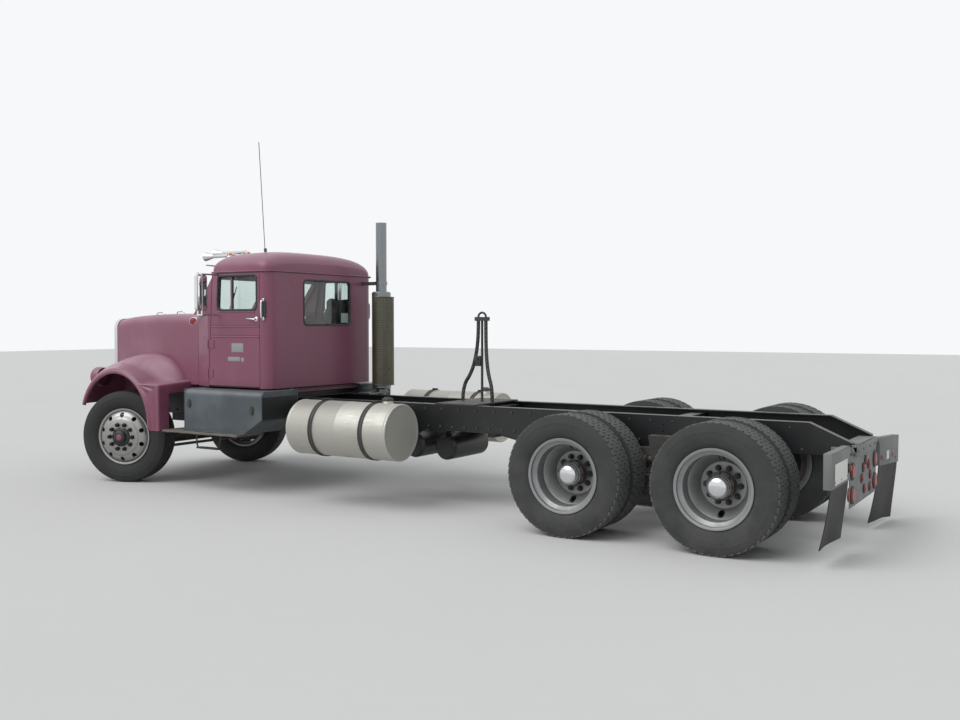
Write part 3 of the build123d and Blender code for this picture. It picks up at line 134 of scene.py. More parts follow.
def addSlab(bm, low, high, bevel=0.0, place=None):
    low, high = Vector(low), Vector(high)
    size = high - low
    matrix = Matrix.Translation((low + high) / 2) @ Matrix.Diagonal((*size, 1))
    made = bmesh.ops.create_cube(bm, size=1, matrix=(place @ matrix) if place else matrix)
    if bevel:
        edges = {edge for vert in made["verts"] for edge in vert.link_edges}
        bmesh.ops.bevel(bm, geom=list(edges), offset=bevel, segments=2, profile=0.5, affect="EDGES",
            clamp_overlap=True)


def addSideSlab(bm, side, low, high, bevel):
    # a slab whose place is given for the left side
    near, far = sorted((side * low[1], side * high[1]))
    addSlab(bm, (low[0], near, low[2]), (high[0], far, high[2]), bevel)


def addLathe(bm, steps, place, segments=96, closed=False):
    # steps are (radius, along) and turn about the local Y axis
    rows = []
    for number in range(segments):
        angle = 2 * pi * number / segments
        rows.append([bm.verts.new(place @ Vector((r * cos(angle), along, r * sin(angle)))) for r, along in steps])
    count = len(steps)
    for number in range(segments):
        here, after = rows[number], rows[(number + 1) % segments]
        for low in range(count if closed else count - 1):
            high = (low + 1) % count
            bm.faces.new((here[low], here[high], after[high], after[low]))


def addSheet(bm, rows, closed=False):
    # a grid of points, row by row
    made = [[bm.verts.new(point) for point in row] for row in rows]
    for here, after in zip(made, made[1:]):
        count = len(here)
        for low in range(count if closed else count - 1):
            high = (low + 1) % count
            bm.faces.new((here[low], here[high], after[high], after[low]))
    return made


def newTube(name, points, radius, steps, smoothness):
    # a round tube along a smooth line that the points pull towards them
    data = bpy.data.curves.new(name, "CURVE")
    data.dimensions = "3D"
    data.bevel_depth = radius
    data.bevel_resolution = smoothness
    data.resolution_u = steps
    data.use_fill_caps = True
    spline = data.splines.new("NURBS")
    spline.points.add(len(points) - 1)
    for spot, point in zip(spline.points, points):
        spot.co = (*point, 1)
    spline.order_u = 3
    spline.use_endpoint_u = True
    return newPiece(name, data)


def addTube(bm, points, radius, smoothness=4):
    carrier = newTube("tubeLine", points, radius, 8, smoothness)
    data, mesh = carrier.data, evaluated(carrier)
    bm.from_mesh(mesh)
    bpy.data.objects.remove(carrier)
    bpy.data.meshes.remove(mesh)
    bpy.data.curves.remove(data)


def addMesh(bm, mesh, place):
    copy = mesh.copy()
    copy.transform(place)
    bm.from_mesh(copy)
    bpy.data.meshes.remove(copy)


def joined(name, parts, sharp=34):
    bm = bmesh.new()
    for mesh, place in parts:
        addMesh(bm, mesh, place)
    return newPiece(name, meshOf(bm, name, sharp))


def middle(node):
    low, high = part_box(node)
    return (low + high) / 2


# shader groups
def linkTo(tree, value, socket):
    if isinstance(value, bpy.types.NodeSocket):
        tree.links.new(value, socket)
    else:
        socket.default_value = value


def mathNode(tree, operation, *values, clamp=False):
    node = tree.nodes.new("ShaderNodeMath")
    node.operation = operation
    node.use_clamp = clamp
    for value, socket in zip(values, node.inputs):
        linkTo(tree, value, socket)
    return node.outputs[0]


def times(tree, *values, clamp=False):
    return mathNode(tree, "MULTIPLY", *values, clamp=clamp)


def plus(tree, *values, clamp=False):
    return mathNode(tree, "ADD", *values, clamp=clamp)


def minus(tree, *values, clamp=False):
    return mathNode(tree, "SUBTRACT", *values, clamp=clamp)


def objectCoords(tree):
    return tree.nodes.new("ShaderNodeTexCoord").outputs["Object"]


def splitVector(tree, vector):
    node = tree.nodes.new("ShaderNodeSeparateXYZ")
    linkTo(tree, vector, node.inputs[0])
    return node.outputs


def facingUp(tree, low):
    # how far the surface faces the sky
    normal = splitVector(tree, tree.nodes.new("ShaderNodeNewGeometry").outputs["Normal"])
    return stepNode(tree, normal["Z"], low, 1.0)


def mixNode(tree, factor, first, second, blend="MIX"):
    node = tree.nodes.new("ShaderNodeMix")
    node.data_type = "RGBA"
    node.blend_type = blend
    linkTo(tree, factor, node.inputs["Factor"])
    linkTo(tree, first, node.inputs[6])
    linkTo(tree, second, node.inputs[7])
    return node.outputs[2]


def noiseNode(tree, coords, scale, detail=4.0, roughness=0.55):
    node = tree.nodes.new("ShaderNodeTexNoise")
    linkTo(tree, coords, node.inputs["Vector"])
    linkTo(tree, scale, node.inputs["Scale"])
    node.inputs["Detail"].default_value = detail
    node.inputs["Roughness"].default_value = roughness
    return node.outputs["Fac"]


def stepNode(tree, value, low, high):
    node = tree.nodes.new("ShaderNodeMapRange")
    node.interpolation_type = "SMOOTHSTEP"
    for given, label in ((value, "Value"), (low, "From Min"), (high, "From Max")):
        linkTo(tree, given, node.inputs[label])
    return node.outputs["Result"]


def shaderGroup(name, inputs, outputs):
    group = bpy.data.node_groups.new(name, "ShaderNodeTree")
    kinds = {"color": "NodeSocketColor", "value": "NodeSocketFloat", "vector": "NodeSocketVector"}
    for label, kind, default in inputs:
        group.interface.new_socket(label, in_out="INPUT", socket_type=kinds[kind]).default_value = default
    for label, kind in outputs:
        group.interface.new_socket(label, in_out="OUTPUT", socket_type=kinds[kind])
    return group, group.nodes.new("NodeGroupInput").outputs, group.nodes.new("NodeGroupOutput").inputs


def makeToneGroup():
    # broad faded patches and small mottling of a colour, with a painted sky sheen that pales what faces up
    group, given, result = shaderGroup("toneVariation",
        [("Color", "color", (0.5, 0.5, 0.5, 1)), ("Spread", "value", 0.15), ("Scale", "value", 1.5),
        ("Pale Color", "color", (0.6, 0.6, 0.6, 1)), ("Fading", "value", 0.2)],
        [("Color", "color"), ("Fade", "value")])
    coords = objectCoords(group)
    broad = noiseNode(group, coords, given["Scale"], 3.0)
    small = noiseNode(group, coords, times(group, given["Scale"], 14.0), 5.0, 0.65)
    both = plus(group, times(group, broad, 0.65), times(group, small, 0.35))
    lift = times(group, minus(group, both, 0.5), given["Spread"])
    gain = plus(group, 1.0, times(group, lift, 4.0))
    scaled = group.nodes.new("ShaderNodeVectorMath")
    scaled.operation = "SCALE"
    linkTo(group, given["Color"], scaled.inputs[0])
    linkTo(group, gain, scaled.inputs["Scale"])
    # painted highlight: faces turned up go towards the pale colour, a painted sheen of the sky over real faded
    # paint; the blotches from the broad noise are faded paint alone
    upward = facingUp(group, 0.15)
    fadeAndSheenShare = times(group, given["Fading"], plus(group, times(group, upward, 0.75),
        times(group, stepNode(group, broad, 0.45, 0.75), 0.45)), clamp=True)
    linkTo(group, mixNode(group, fadeAndSheenShare, scaled.outputs[0], given["Pale Color"]), result["Color"])
    linkTo(group, fadeAndSheenShare, result["Fade"])
    return group


def makeDustGroup():
    # road dust: thick near the ground and on what faces up, thin higher
    group, given, result = shaderGroup("roadDust",
        [("Color", "color", (0.5, 0.5, 0.5, 1)), ("Roughness", "value", 0.5),
        ("Dust Color", "color", (0.2, 0.18, 0.16, 1)), ("Amount", "value", 0.3), ("On Top", "value", 0.3),
        ("Scale", "value", 6.0), ("Height", "value", 1.6)],
        [("Color", "color"), ("Roughness", "value"), ("Mask", "value")])
    coords = objectCoords(group)
    height = splitVector(group, coords)["Z"]
    low = minus(group, 1.0, mathNode(group, "DIVIDE", height, given["Height"]), clamp=True)
    cloud = stepNode(group, noiseNode(group, coords, given["Scale"], 6.0, 0.62), 0.32, 0.72)
    fine = noiseNode(group, coords, times(group, given["Scale"], 22.0), 3.0, 0.7)
    spread = times(group, given["Amount"], plus(group, 0.25, times(group, low, 0.9)))
    patchy = times(group, spread, plus(group, 0.35, times(group, cloud, 0.9)))
    upward = times(group, facingUp(group, 0.3), given["On Top"])
    settled = times(group, upward, plus(group, 0.45, cloud))
    mask = times(group, plus(group, patchy, settled), plus(group, 0.7, times(group, fine, 0.6)), clamp=True)
    linkTo(group, mixNode(group, mask, given["Color"], given["Dust Color"]), result["Color"])
    rough = plus(group, given["Roughness"], times(group, mask, 0.35), clamp=True)
    linkTo(group, rough, result["Roughness"])
    linkTo(group, mask, result["Mask"])
    return group


def makeChipGroup():
    # small chips and spots of rust or bare metal
    group, given, result = shaderGroup("chipsAndSpots",
        [("Color", "color", (0.5, 0.5, 0.5, 1)), ("Chip Color", "color", (0.1, 0.05, 0.03, 1)),
        ("Amount", "value", 0.3), ("Scale", "value", 9.0)], [("Color", "color"), ("Mask", "value")])
    coords = objectCoords(group)
    area = noiseNode(group, coords, given["Scale"], 2.0)
    spots = noiseNode(group, coords, times(group, given["Scale"], 9.0), 5.0, 0.7)
    both = plus(group, times(group, area, 0.55), times(group, spots, 0.45))
    edge = minus(group, 0.72, times(group, given["Amount"], 0.22))
    mask = stepNode(group, both, edge, plus(group, edge, 0.035))
    linkTo(group, mixNode(group, mask, given["Color"], given["Chip Color"]), result["Color"])
    linkTo(group, mask, result["Mask"])
    return group


def makeGrainGroup():
    # orange peel, casting skin or rubber grain, as a height
    group, given, result = shaderGroup("surfaceGrain", [("Scale", "value", 300.0), ("Waviness", "value", 0.4)],
        [("Height", "value")])
    coords = objectCoords(group)
    fine = noiseNode(group, coords, given["Scale"], 3.0, 0.6)
    wave = noiseNode(group, coords, times(group, given["Scale"], 0.03), 2.0)
    linkTo(group, plus(group, fine, times(group, wave, times(group, given["Waviness"], 12.0))), result["Height"])
    return group


def makeBrushGroup():
    # drawn lines in metal or wood, stretched along one direction
    group, given, result = shaderGroup("drawnLines",
        [("Stretch", "vector", (1.0, 40.0, 40.0)), ("Scale", "value", 8.0), ("Color", "color", (0.6, 0.6, 0.6, 1)),
        ("Line Color", "color", (0.4, 0.4, 0.4, 1)), ("Roughness", "value", 0.4), ("Depth", "value", 0.3)],
        [("Color", "color"), ("Roughness", "value"), ("Height", "value")])
    mapping = group.nodes.new("ShaderNodeVectorMath")
    mapping.operation = "MULTIPLY"
    linkTo(group, objectCoords(group), mapping.inputs[0])
    linkTo(group, given["Stretch"], mapping.inputs[1])
    lines = noiseNode(group, mapping.outputs[0], given["Scale"], 4.0, 0.6)
    mask = times(group, stepNode(group, lines, 0.35, 0.7), given["Depth"])
    linkTo(group, mixNode(group, mask, given["Color"], given["Line Color"]), result["Color"])
    linkTo(group, plus(group, given["Roughness"], times(group, mask, 0.25)), result["Roughness"])
    linkTo(group, lines, result["Height"])
    return group


toneGroup = makeToneGroup()
dustGroup = makeDustGroup()
chipGroup = makeChipGroup()
grainGroup = makeGrainGroup()
brushGroup = makeBrushGroup()
print("shader groups made")


# materials
def placed(tree, group, **values):
    node = tree.nodes.new("ShaderNodeGroup")
    node.node_tree = group
    for label, value in values.items():
        linkTo(tree, value, node.inputs[label.replace("_", " ")])
    return node.outputs


def newMaterial(name):
    material = bpy.data.materials.new(name)
    material.use_nodes = True
    return material, material.node_tree, material.node_tree.nodes["Principled BSDF"]


def surface(name, color, roughness, metallic=0.0, spread=0.12, toneScale=1.6, pale=None, fading=0.0, dust=None,
        chips=None, grain=(260.0, 0.3), grainDepth=0.0004, drawn=None, coat=0.0, pattern=None):
    # one finish: tone with its painted sky sheen on upward faces, drawn lines, chips and dust, each with its own
    # values, then the grain as a bump
    material, tree, shader = newMaterial(name)
    shader.inputs["Coat Weight"].default_value = coat
    shader.inputs["Coat Roughness"].default_value = 0.12
    tone = placed(tree, toneGroup, Color=(*color, 1), Spread=spread, Scale=toneScale,
        Pale_Color=(*(pale or color), 1), Fading=fading)
    current, rough, metal = tone["Color"], roughness, metallic
    if drawn:
        stretch, scale, lineColor, depth = drawn
        lines = placed(tree, brushGroup, Stretch=stretch, Scale=scale, Color=current, Line_Color=(*lineColor, 1),
            Roughness=rough, Depth=depth)
        current, rough = lines["Color"], lines["Roughness"]
    if chips:
        chipColor, amount, scale = chips
        spots = placed(tree, chipGroup, Color=current, Chip_Color=(*chipColor, 1), Amount=amount, Scale=scale)
        current = spots["Color"]
        if metallic:
            metal = times(tree, metallic, minus(tree, 1.0, spots["Mask"]))
    if dust:
        dustColor, amount, onTop, scale, height = dust
        layer = placed(tree, dustGroup, Color=current, Roughness=rough, Dust_Color=(*dustColor, 1), Amount=amount,
            On_Top=onTop, Scale=scale, Height=height)
        current, rough = layer["Color"], layer["Roughness"]
        if metallic:
            metal = times(tree, metal, minus(tree, 1.0, times(tree, layer["Mask"], 0.8)))
    height = placed(tree, grainGroup, Scale=grain[0], Waviness=grain[1])["Height"]
    if drawn:
        height = plus(tree, height, times(tree, lines["Height"], drawn[3] * 2))
    if pattern:
        height = plus(tree, height, pattern(tree))
    bump = tree.nodes.new("ShaderNodeBump")
    bump.inputs["Strength"].default_value = 0.6
    bump.inputs["Distance"].default_value = grainDepth
    linkTo(tree, height, bump.inputs["Height"])
    linkTo(tree, current, shader.inputs["Base Color"])
    linkTo(tree, rough, shader.inputs["Roughness"])
    linkTo(tree, metal, shader.inputs["Metallic"])
    linkTo(tree, bump.outputs["Normal"], shader.inputs["Normal"])
    return material


def glassFinish(name, tint, roughness=0.02, smear=0.06):
    material, tree, shader = newMaterial(name)
    shader.inputs["Transmission Weight"].default_value = 1.0
    shader.inputs["IOR"].default_value = 1.45
    tone = placed(tree, toneGroup, Color=(*tint, 1), Spread=0.05, Scale=3.0, Pale_Color=(*tint, 1), Fading=0.0)
    layer = placed(tree, dustGroup, Color=tone["Color"], Roughness=roughness, Dust_Color=(0.5, 0.5, 0.48, 1),
        Amount=smear, On_Top=0.0, Scale=5.0, Height=3.0)
    linkTo(tree, layer["Color"], shader.inputs["Base Color"])
    linkTo(tree, layer["Roughness"], shader.inputs["Roughness"])
    return material


def waves(tree, along, scale):
    return mathNode(tree, "SINE", times(tree, along, scale))


def ribbedLens(tree):
    # upright flutes pressed into a lamp glass
    place = splitVector(tree, objectCoords(tree))
    flutes = waves(tree, place["Y"], 700.0)
    rows = waves(tree, place["Z"], 700.0)
    return times(tree, plus(tree, flutes, rows), 1.5)


def coreFins(tree):
    # the radiator's fine fins and its tubes
    place = splitVector(tree, objectCoords(tree))
    fins = waves(tree, place["Z"], 1500.0)
    tubes = waves(tree, place["Y"], 420.0)
    return times(tree, plus(tree, fins, tubes), 4.0)


def wrapLines(tree):
    # the spiral wrap round the hoses
    node = tree.nodes.new("ShaderNodeTexWave")
    node.wave_type = "BANDS"
    node.bands_direction = "DIAGONAL"
    node.inputs["Scale"].default_value = 14.0
    node.inputs["Distortion"].default_value = 0.4
    linkTo(tree, objectCoords(tree), node.inputs["Vector"])
    return times(tree, node.outputs["Fac"], 6.0)


def clothWeave(tree):
    # crossed threads of the seat cloth
    place = splitVector(tree, objectCoords(tree))
    warp = waves(tree, place["X"], 2400.0)
    weft = waves(tree, place["Y"], 2400.0)
    rise = waves(tree, place["Z"], 2400.0)
    return plus(tree, warp, plus(tree, weft, rise))


roadGrey = (0.155, 0.145, 0.13)
rust = (0.09, 0.035, 0.018)
finishes = {}


def addFinish(name, *values, **more):
    finishes[name] = surface(name, *values, **more)


# the pale colour on upward faces is faded paint and a painted sky sheen on the hood, roof and fender tops
addFinish("cab_paint", (0.218, 0.064, 0.112), 0.40, spread=0.10, toneScale=0.9, pale=(0.50, 0.31, 0.38),
    fading=0.40, dust=((0.27, 0.15, 0.18), 0.08, 0.05, 2.5, 2.0), chips=((0.10, 0.045, 0.035), 0.04, 5.0),
    grain=(420.0, 0.5), grainDepth=0.0003, coat=0.12)
addFinish("chassis_black", (0.009, 0.010, 0.011), 0.36, spread=0.3, toneScale=3.0,
    dust=(roadGrey, 0.06, 0.16, 7.0, 1.1), chips=(rust, 0.34, 6.0), grain=(300.0, 0.4))
addFinish("panel_white", (0.165, 0.175, 0.18), 0.45, spread=0.1, toneScale=4.0,
    dust=(roadGrey, 0.55, 0.25, 9.0, 1.1), chips=(rust, 0.3, 11.0), grain=(320.0, 0.4))
addFinish("chassis_iron", (0.035, 0.03, 0.027), 0.62, spread=0.3, toneScale=5.0,
    dust=(roadGrey, 0.55, 0.3, 8.0, 1.0), chips=(rust, 0.7, 8.0), grain=(180.0, 0.6), grainDepth=0.001)
addFinish("mirror_silver", (0.86, 0.87, 0.88), 0.04, 1.0, spread=0.02, grain=(60.0, 0.1), grainDepth=0.00002)
addFinish("notice_paper", (0.72, 0.72, 0.69), 0.7, spread=0.05, toneScale=8.0)
addFinish("patch_grey", (0.30, 0.32, 0.31), 0.5, spread=0.1, toneScale=9.0, dust=(roadGrey, 0.2, 0.0, 9.0, 2.2))
addFinish("engine_iron", (0.05, 0.048, 0.045), 0.6, spread=0.3, toneScale=4.0, dust=(roadGrey, 0.35, 0.3, 7.0, 1.6),
    chips=(rust, 0.4, 9.0), grain=(160.0, 0.6), grainDepth=0.001)
addFinish("radiator_black", (0.02, 0.02, 0.021), 0.5, spread=0.2, dust=(roadGrey, 0.2, 0.2, 6.0, 1.8),
    pattern=coreFins)
addFinish("shaft_steel", (0.10, 0.09, 0.08), 0.5, 0.6, spread=0.25, dust=(roadGrey, 0.5, 0.3, 9.0, 1.0),
    chips=(rust, 0.7, 9.0))
addFinish("strap_steel", (0.055, 0.055, 0.053), 0.5, 0.3, spread=0.2, dust=(roadGrey, 0.3, 0.2, 9.0, 1.1),
    chips=(rust, 0.35, 16.0), drawn=((60.0, 1.0, 1.0), 6.0, (0.02, 0.02, 0.02), 0.6))
addFinish("stack_steel", (0.22, 0.25, 0.265), 0.24, 1.0, spread=0.10, toneScale=2.0,
    dust=((0.2, 0.17, 0.14), 0.25, 0.1, 4.0, 3.2), drawn=((30.0, 30.0, 1.0), 5.0, (0.34, 0.34, 0.34), 0.4))
addFinish("shield_black", (0.12, 0.115, 0.078), 0.34, 0.85, spread=0.12, toneScale=4.0,
    dust=((0.16, 0.14, 0.10), 0.4, 0.1, 9.0, 2.4), chips=(rust, 0.25, 20.0))
addFinish("bright_trim", (0.72, 0.73, 0.74), 0.14, 1.0, spread=0.05, dust=((0.3, 0.28, 0.25), 0.12, 0.05, 9.0, 2.2),
    chips=((0.3, 0.25, 0.2), 0.05, 20.0), grain=(500.0, 0.2), grainDepth=0.0001)
addFinish("lamp_glass", (0.62, 0.64, 0.64), 0.12, 0.35, spread=0.06, dust=(roadGrey, 0.2, 0.1, 12.0, 2.0), coat=0.6,
    pattern=ribbedLens)
addFinish("red_lens", (0.30, 0.005, 0.009), 0.34, spread=0.15, toneScale=20.0,
    dust=(roadGrey, 0.06, 0.05, 14.0, 1.4), coat=0.15, pattern=ribbedLens)
addFinish("amber_lens", (0.62, 0.20, 0.02), 0.18, spread=0.12, toneScale=20.0, coat=0.6, pattern=ribbedLens)
finishes["glass"] = glassFinish("glass", (0.80, 0.88, 0.86))
addFinish("dash_plastic", (0.035, 0.034, 0.034), 0.55, spread=0.12, grain=(520.0, 0.3), grainDepth=0.0006,
    dust=(roadGrey, 0.1, 0.3, 9.0, 2.6))
# the visor's pale top is faded paint and a painted sky sheen, as on the cab
addFinish("visor_plastic", (0.235, 0.072, 0.118), 0.42, spread=0.12, pale=(0.50, 0.31, 0.38), fading=0.4,
    dust=(roadGrey, 0.1, 0.1, 6.0, 3.0), coat=0.1)
addFinish("seat_cloth", (0.075, 0.07, 0.072), 0.85, spread=0.2, toneScale=9.0, grain=(700.0, 0.4),
    grainDepth=0.0006, dust=(roadGrey, 0.15, 0.2, 9.0, 2.4), pattern=clothWeave)
# the boxes' pale tops are a painted sky highlight on the rolled edge, with some blotchy faded paint
addFinish("tread_plate", (0.078, 0.094, 0.106), 0.34, 0.50, spread=0.12, toneScale=2.4, pale=(0.30, 0.34, 0.37),
    fading=0.35, dust=(roadGrey, 0.22, 0.1, 5.0, 1.2), chips=((0.16, 0.15, 0.14), 0.22, 14.0), grain=(260.0, 0.5))
addFinish("tank_aluminium", (0.50, 0.495, 0.455), 0.46, 0.75, spread=0.08, toneScale=3.0,
    dust=((0.34, 0.31, 0.25), 0.22, 0.05, 5.0, 1.3), drawn=((1.0, 26.0, 26.0), 5.0, (0.44, 0.43, 0.40), 0.45))
addFinish("wheel_aluminium", (0.36, 0.36, 0.355), 0.32, 0.9, spread=0.08, toneScale=6.0,
    dust=((0.26, 0.24, 0.21), 0.30, 0.05, 14.0, 1.2), chips=((0.12, 0.1, 0.08), 0.12, 30.0))
addFinish("wheel_grey", (0.30, 0.305, 0.31), 0.34, 0.6, spread=0.12, toneScale=7.0,
    dust=((0.16, 0.15, 0.14), 0.30, 0.1, 11.0, 1.3), chips=(rust, 0.15, 26.0))
addFinish("step_wood", (0.17, 0.15, 0.125), 0.8, spread=0.2, toneScale=4.0, pale=(0.26, 0.245, 0.22), fading=0.6,
    drawn=((1.0, 30.0, 30.0), 7.0, (0.07, 0.06, 0.05), 0.8), grainDepth=0.002, dust=(roadGrey, 0.25, 0.2, 9.0, 1.1))
addFinish("tyre", (0.026, 0.027, 0.028), 0.74, spread=0.15, toneScale=5.0,
    dust=((0.10, 0.10, 0.095), 0.42, 0.2, 6.0, 1.4), grain=(200.0, 0.3), grainDepth=0.0008)
addFinish("tyre_clean", (0.010, 0.0105, 0.011), 0.66, spread=0.15, toneScale=5.0,
    dust=((0.07, 0.07, 0.067), 0.2, 0.1, 6.0, 1.4), grain=(420.0, 0.4), grainDepth=0.0006)
addFinish("worn_tread", (0.085, 0.09, 0.09), 0.8, spread=0.25, toneScale=9.0,
    dust=((0.16, 0.16, 0.15), 0.3, 0.2, 9.0, 1.4))
addFinish("flap_rubber", (0.010, 0.0105, 0.011), 0.6, spread=0.2, toneScale=5.0,
    dust=(roadGrey, 0.06, 0.05, 6.0, 1.3), grain=(160.0, 0.4), grainDepth=0.001)
addFinish("hose_rubber", (0.028, 0.028, 0.03), 0.5, spread=0.2, toneScale=9.0, dust=(roadGrey, 0.25, 0.2, 9.0, 2.2),
    pattern=wrapLines, grainDepth=0.0012)
print("materials made:", len(finishes))

slotOf = {entry["node"]: entry["material_slot"] for entry in frame["record"]["subparts"]}
for node, piece in frame["nodes"].items():
    for holder in piece.material_slots:
        holder.material = finishes[slotOf[node]]


def dress(piece, finish, body="chassis", stands=()):
    # finish, body and the CAD nodes that the piece stands for
    piece.data.materials.clear()
    piece.data.materials.append(finishes[finish])
    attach(piece, body)
    if stands:
        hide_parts(*stands)
    return piece


def finished(bm, name, finish, body="chassis", stands=(), sharp=34.0):
    return dress(closeMesh(bm, name, sharp), finish, body, stands)


# camera, light and floor
view = {"place": (-6.077, 8.785, 1.8085), "turn": 31.807, "down": 1.946, "focal": 1004.29, "pixels": 960,
    "sensor": 36.0}
lens = bpy.data.cameras.new("photoCamera")
lens.sensor_width = view["sensor"]
lens.lens = view["focal"] / view["pixels"] * view["sensor"]
camera = newPiece("photoCamera", lens)
turn, down = radians(view["turn"]), radians(view["down"])
ahead = Vector((sin(turn) * cos(down), -cos(turn) * cos(down), -sin(down)))
camera.location = view["place"]
camera.rotation_euler = ahead.to_track_quat("-Z", "Y").to_euler()
scene.camera = camera

lighting = {"sky": 0.60, "backdrop": (0.93, 0.94, 0.95), "floor": (0.66, 0.66, 0.65),
    "keyTurn": (-42.0, 0.0, -24.0), "key": 1.55, "keySpread": 50, "floorSize": 60}


def paleNode(tree):
    # where the camera, a mirror or a window looks straight at the backdrop
    path = tree.nodes.new("ShaderNodeLightPath").outputs
    seen = mathNode(tree, "MAXIMUM", path["Is Camera Ray"], path["Is Glossy Ray"])
    return mathNode(tree, "MAXIMUM", seen, path["Is Transmission Ray"])


def makeStage():
    world = bpy.data.worlds.new("studio")
    world.use_nodes = True
    scene.world = world
    tree = world.node_tree
    plain = tree.nodes["Background"]
    plain.inputs["Color"].default_value = (0.96, 0.98, 1.0, 1)
    plain.inputs["Strength"].default_value = lighting["sky"]
    backdrop = tree.nodes.new("ShaderNodeBackground")
    backdrop.inputs["Color"].default_value = (*lighting["backdrop"], 1)
    mix = tree.nodes.new("ShaderNodeMixShader")
    linkTo(tree, paleNode(tree), mix.inputs[0])
    tree.links.new(plain.outputs[0], mix.inputs[1])
    tree.links.new(backdrop.outputs[0], mix.inputs[2])
    tree.links.new(mix.outputs[0], tree.nodes["World Output"].inputs[0])
    data = bpy.data.lights.new("keyLight", "SUN")
    data.energy = lighting["key"]
    data.angle = radians(lighting["keySpread"])
    newPiece("keyLight", data).rotation_euler = Euler([radians(v) for v in lighting["keyTurn"]])
    bm = bmesh.new()
    bmesh.ops.create_grid(bm, x_segments=2, y_segments=2, size=lighting["floorSize"])
    floor = closeMesh(bm, "studioFloor")
    material, tree, shader = newMaterial("studioFloor")
    shader.inputs["Roughness"].default_value = 0.9
    shader.inputs["Specular IOR Level"].default_value = 0.1
    tone = placed(tree, toneGroup, Color=(*lighting["floor"], 1), Spread=0.02, Scale=0.4,
        Pale_Color=(*lighting["floor"], 1), Fading=0.0)
    linkTo(tree, tone["Color"], shader.inputs["Base Color"])
    floor.data.materials.append(material)
    floor.location.z = -0.001


makeStage()
print("camera, light and floor set")


# hoses on the stand
hoses = {"x": -0.6545, "radius": 0.019, "length": {"hose_bundle_rear": 0.84, "hose_bundle_front": 0.87},
    "routes": {"hose_bundle_rear": [(-.045, 0, 1.860), (-.045, 0, 1.700), (-.058, .012, 1.510),
    (-.088, .026, 1.320), (-.142, .034, 1.170), (-.142, .034, 1.032)],
    "hose_bundle_front": [(.045, 0, 1.860), (.045, 0, 1.700), (.080, -.014, 1.510), (.140, -.024, 1.330),
    (.248, -.020, 1.180), (.248, -.020, 1.032)]}}


def makeHose(node):
    points = [(hoses["x"] + x, y, z) for x, y, z in hoses["routes"][node]]
    hose = newTube(node + "Line", points, hoses["radius"], 24, 6)
    dress(hose, "hose_rubber", "chassis", [node])


for node in hoses["routes"]:
    makeHose(node)
print("hoses laid")


# Geometry Nodes for what repeats
def nodeTree(name, inputs):
    tree = bpy.data.node_groups.new(name, "GeometryNodeTree")
    kinds = {"int": "NodeSocketInt", "float": "NodeSocketFloat", "vector": "NodeSocketVector",
        "material": "NodeSocketMaterial", "object": "NodeSocketObject"}
    for label, kind, value in inputs:
        socket = tree.interface.new_socket(label, in_out="INPUT", socket_type=kinds[kind])
        if value is not None:
            socket.default_value = value
    tree.interface.new_socket("Geometry", in_out="OUTPUT", socket_type="NodeSocketGeometry")
    return tree, tree.nodes.new("NodeGroupInput").outputs, tree.nodes.new("NodeGroupOutput").inputs


def geoNode(tree, kind, values=None, **settings):
    node = tree.nodes.new(kind)
    for label, value in settings.items():
        setattr(node, label, value)
    for label, value in (values or {}).items():
        linkTo(tree, value, node.inputs[label])
    return node


def vectorNode(tree, x, y, z):
    return geoNode(tree, "ShaderNodeCombineXYZ", {"X": x, "Y": y, "Z": z}).outputs[0]


def finishTree(tree, instances, material, result):
    solid = geoNode(tree, "GeometryNodeRealizeInstances", {"Geometry": instances})
    coloured = geoNode(tree, "GeometryNodeSetMaterial", {"Geometry": solid.outputs[0], "Material": material})
    tree.links.new(coloured.outputs[0], result["Geometry"])
    return tree


def grow(tree, **values):
    # runs a tree once and gives its result as a plain mesh
    carrier = newPiece(tree.name + "Carrier", bpy.data.meshes.new(tree.name))
    modifier = carrier.modifiers.new("grow", "NODES")
    modifier.node_group = tree
    for item in tree.interface.items_tree:
        key = item.name.replace(" ", "_")
        if item.in_out == "INPUT" and key in values:
            modifier[item.identifier] = values[key]
    mesh = evaluated(carrier)
    bpy.data.objects.remove(carrier)
    return mesh


def makeNutTree():
    # hexagon nuts on their studs, round a circle
    tree, given, result = nodeTree("nutCircle",
        [("Count", "int", 10), ("Ring Radius", "float", 0.143), ("Nut Radius", "float", 0.019),
        ("Nut Height", "float", 0.024), ("Stud Radius", "float", 0.010), ("Stud Length", "float", 0.034),
        ("Material", "material", None)])
    ring = geoNode(tree, "GeometryNodeMeshCircle", {"Vertices": given["Count"], "Radius": given["Ring Radius"]})
    nut = geoNode(tree, "GeometryNodeMeshCylinder",
        {"Vertices": 6, "Radius": given["Nut Radius"], "Depth": given["Nut Height"]})
    washer = geoNode(tree, "GeometryNodeMeshCylinder",
        {"Vertices": 16, "Radius": times(tree, given["Nut Radius"], 1.2),
        "Depth": times(tree, given["Nut Height"], 0.25)})
    stud = geoNode(tree, "GeometryNodeMeshCylinder",
        {"Vertices": 12, "Radius": given["Stud Radius"], "Depth": given["Stud Length"]})
    lifted = []
    for shape, height in ((nut, given["Nut Height"]), (stud, given["Stud Length"]),
            (washer, times(tree, given["Nut Height"], 0.2))):
        move = vectorNode(tree, 0.0, 0.0, times(tree, height, 0.5))
        lifted.append(geoNode(tree, "GeometryNodeTransform",
            {"Geometry": shape.outputs["Mesh"], "Translation": move}).outputs[0])
    joined = geoNode(tree, "GeometryNodeJoinGeometry")
    for part in lifted:
        tree.links.new(part, joined.inputs[0])
    spread = geoNode(tree, "GeometryNodeInstanceOnPoints",
        {"Points": ring.outputs[0], "Instance": joined.outputs[0]})
    return finishTree(tree, spread.outputs[0], given["Material"], result)


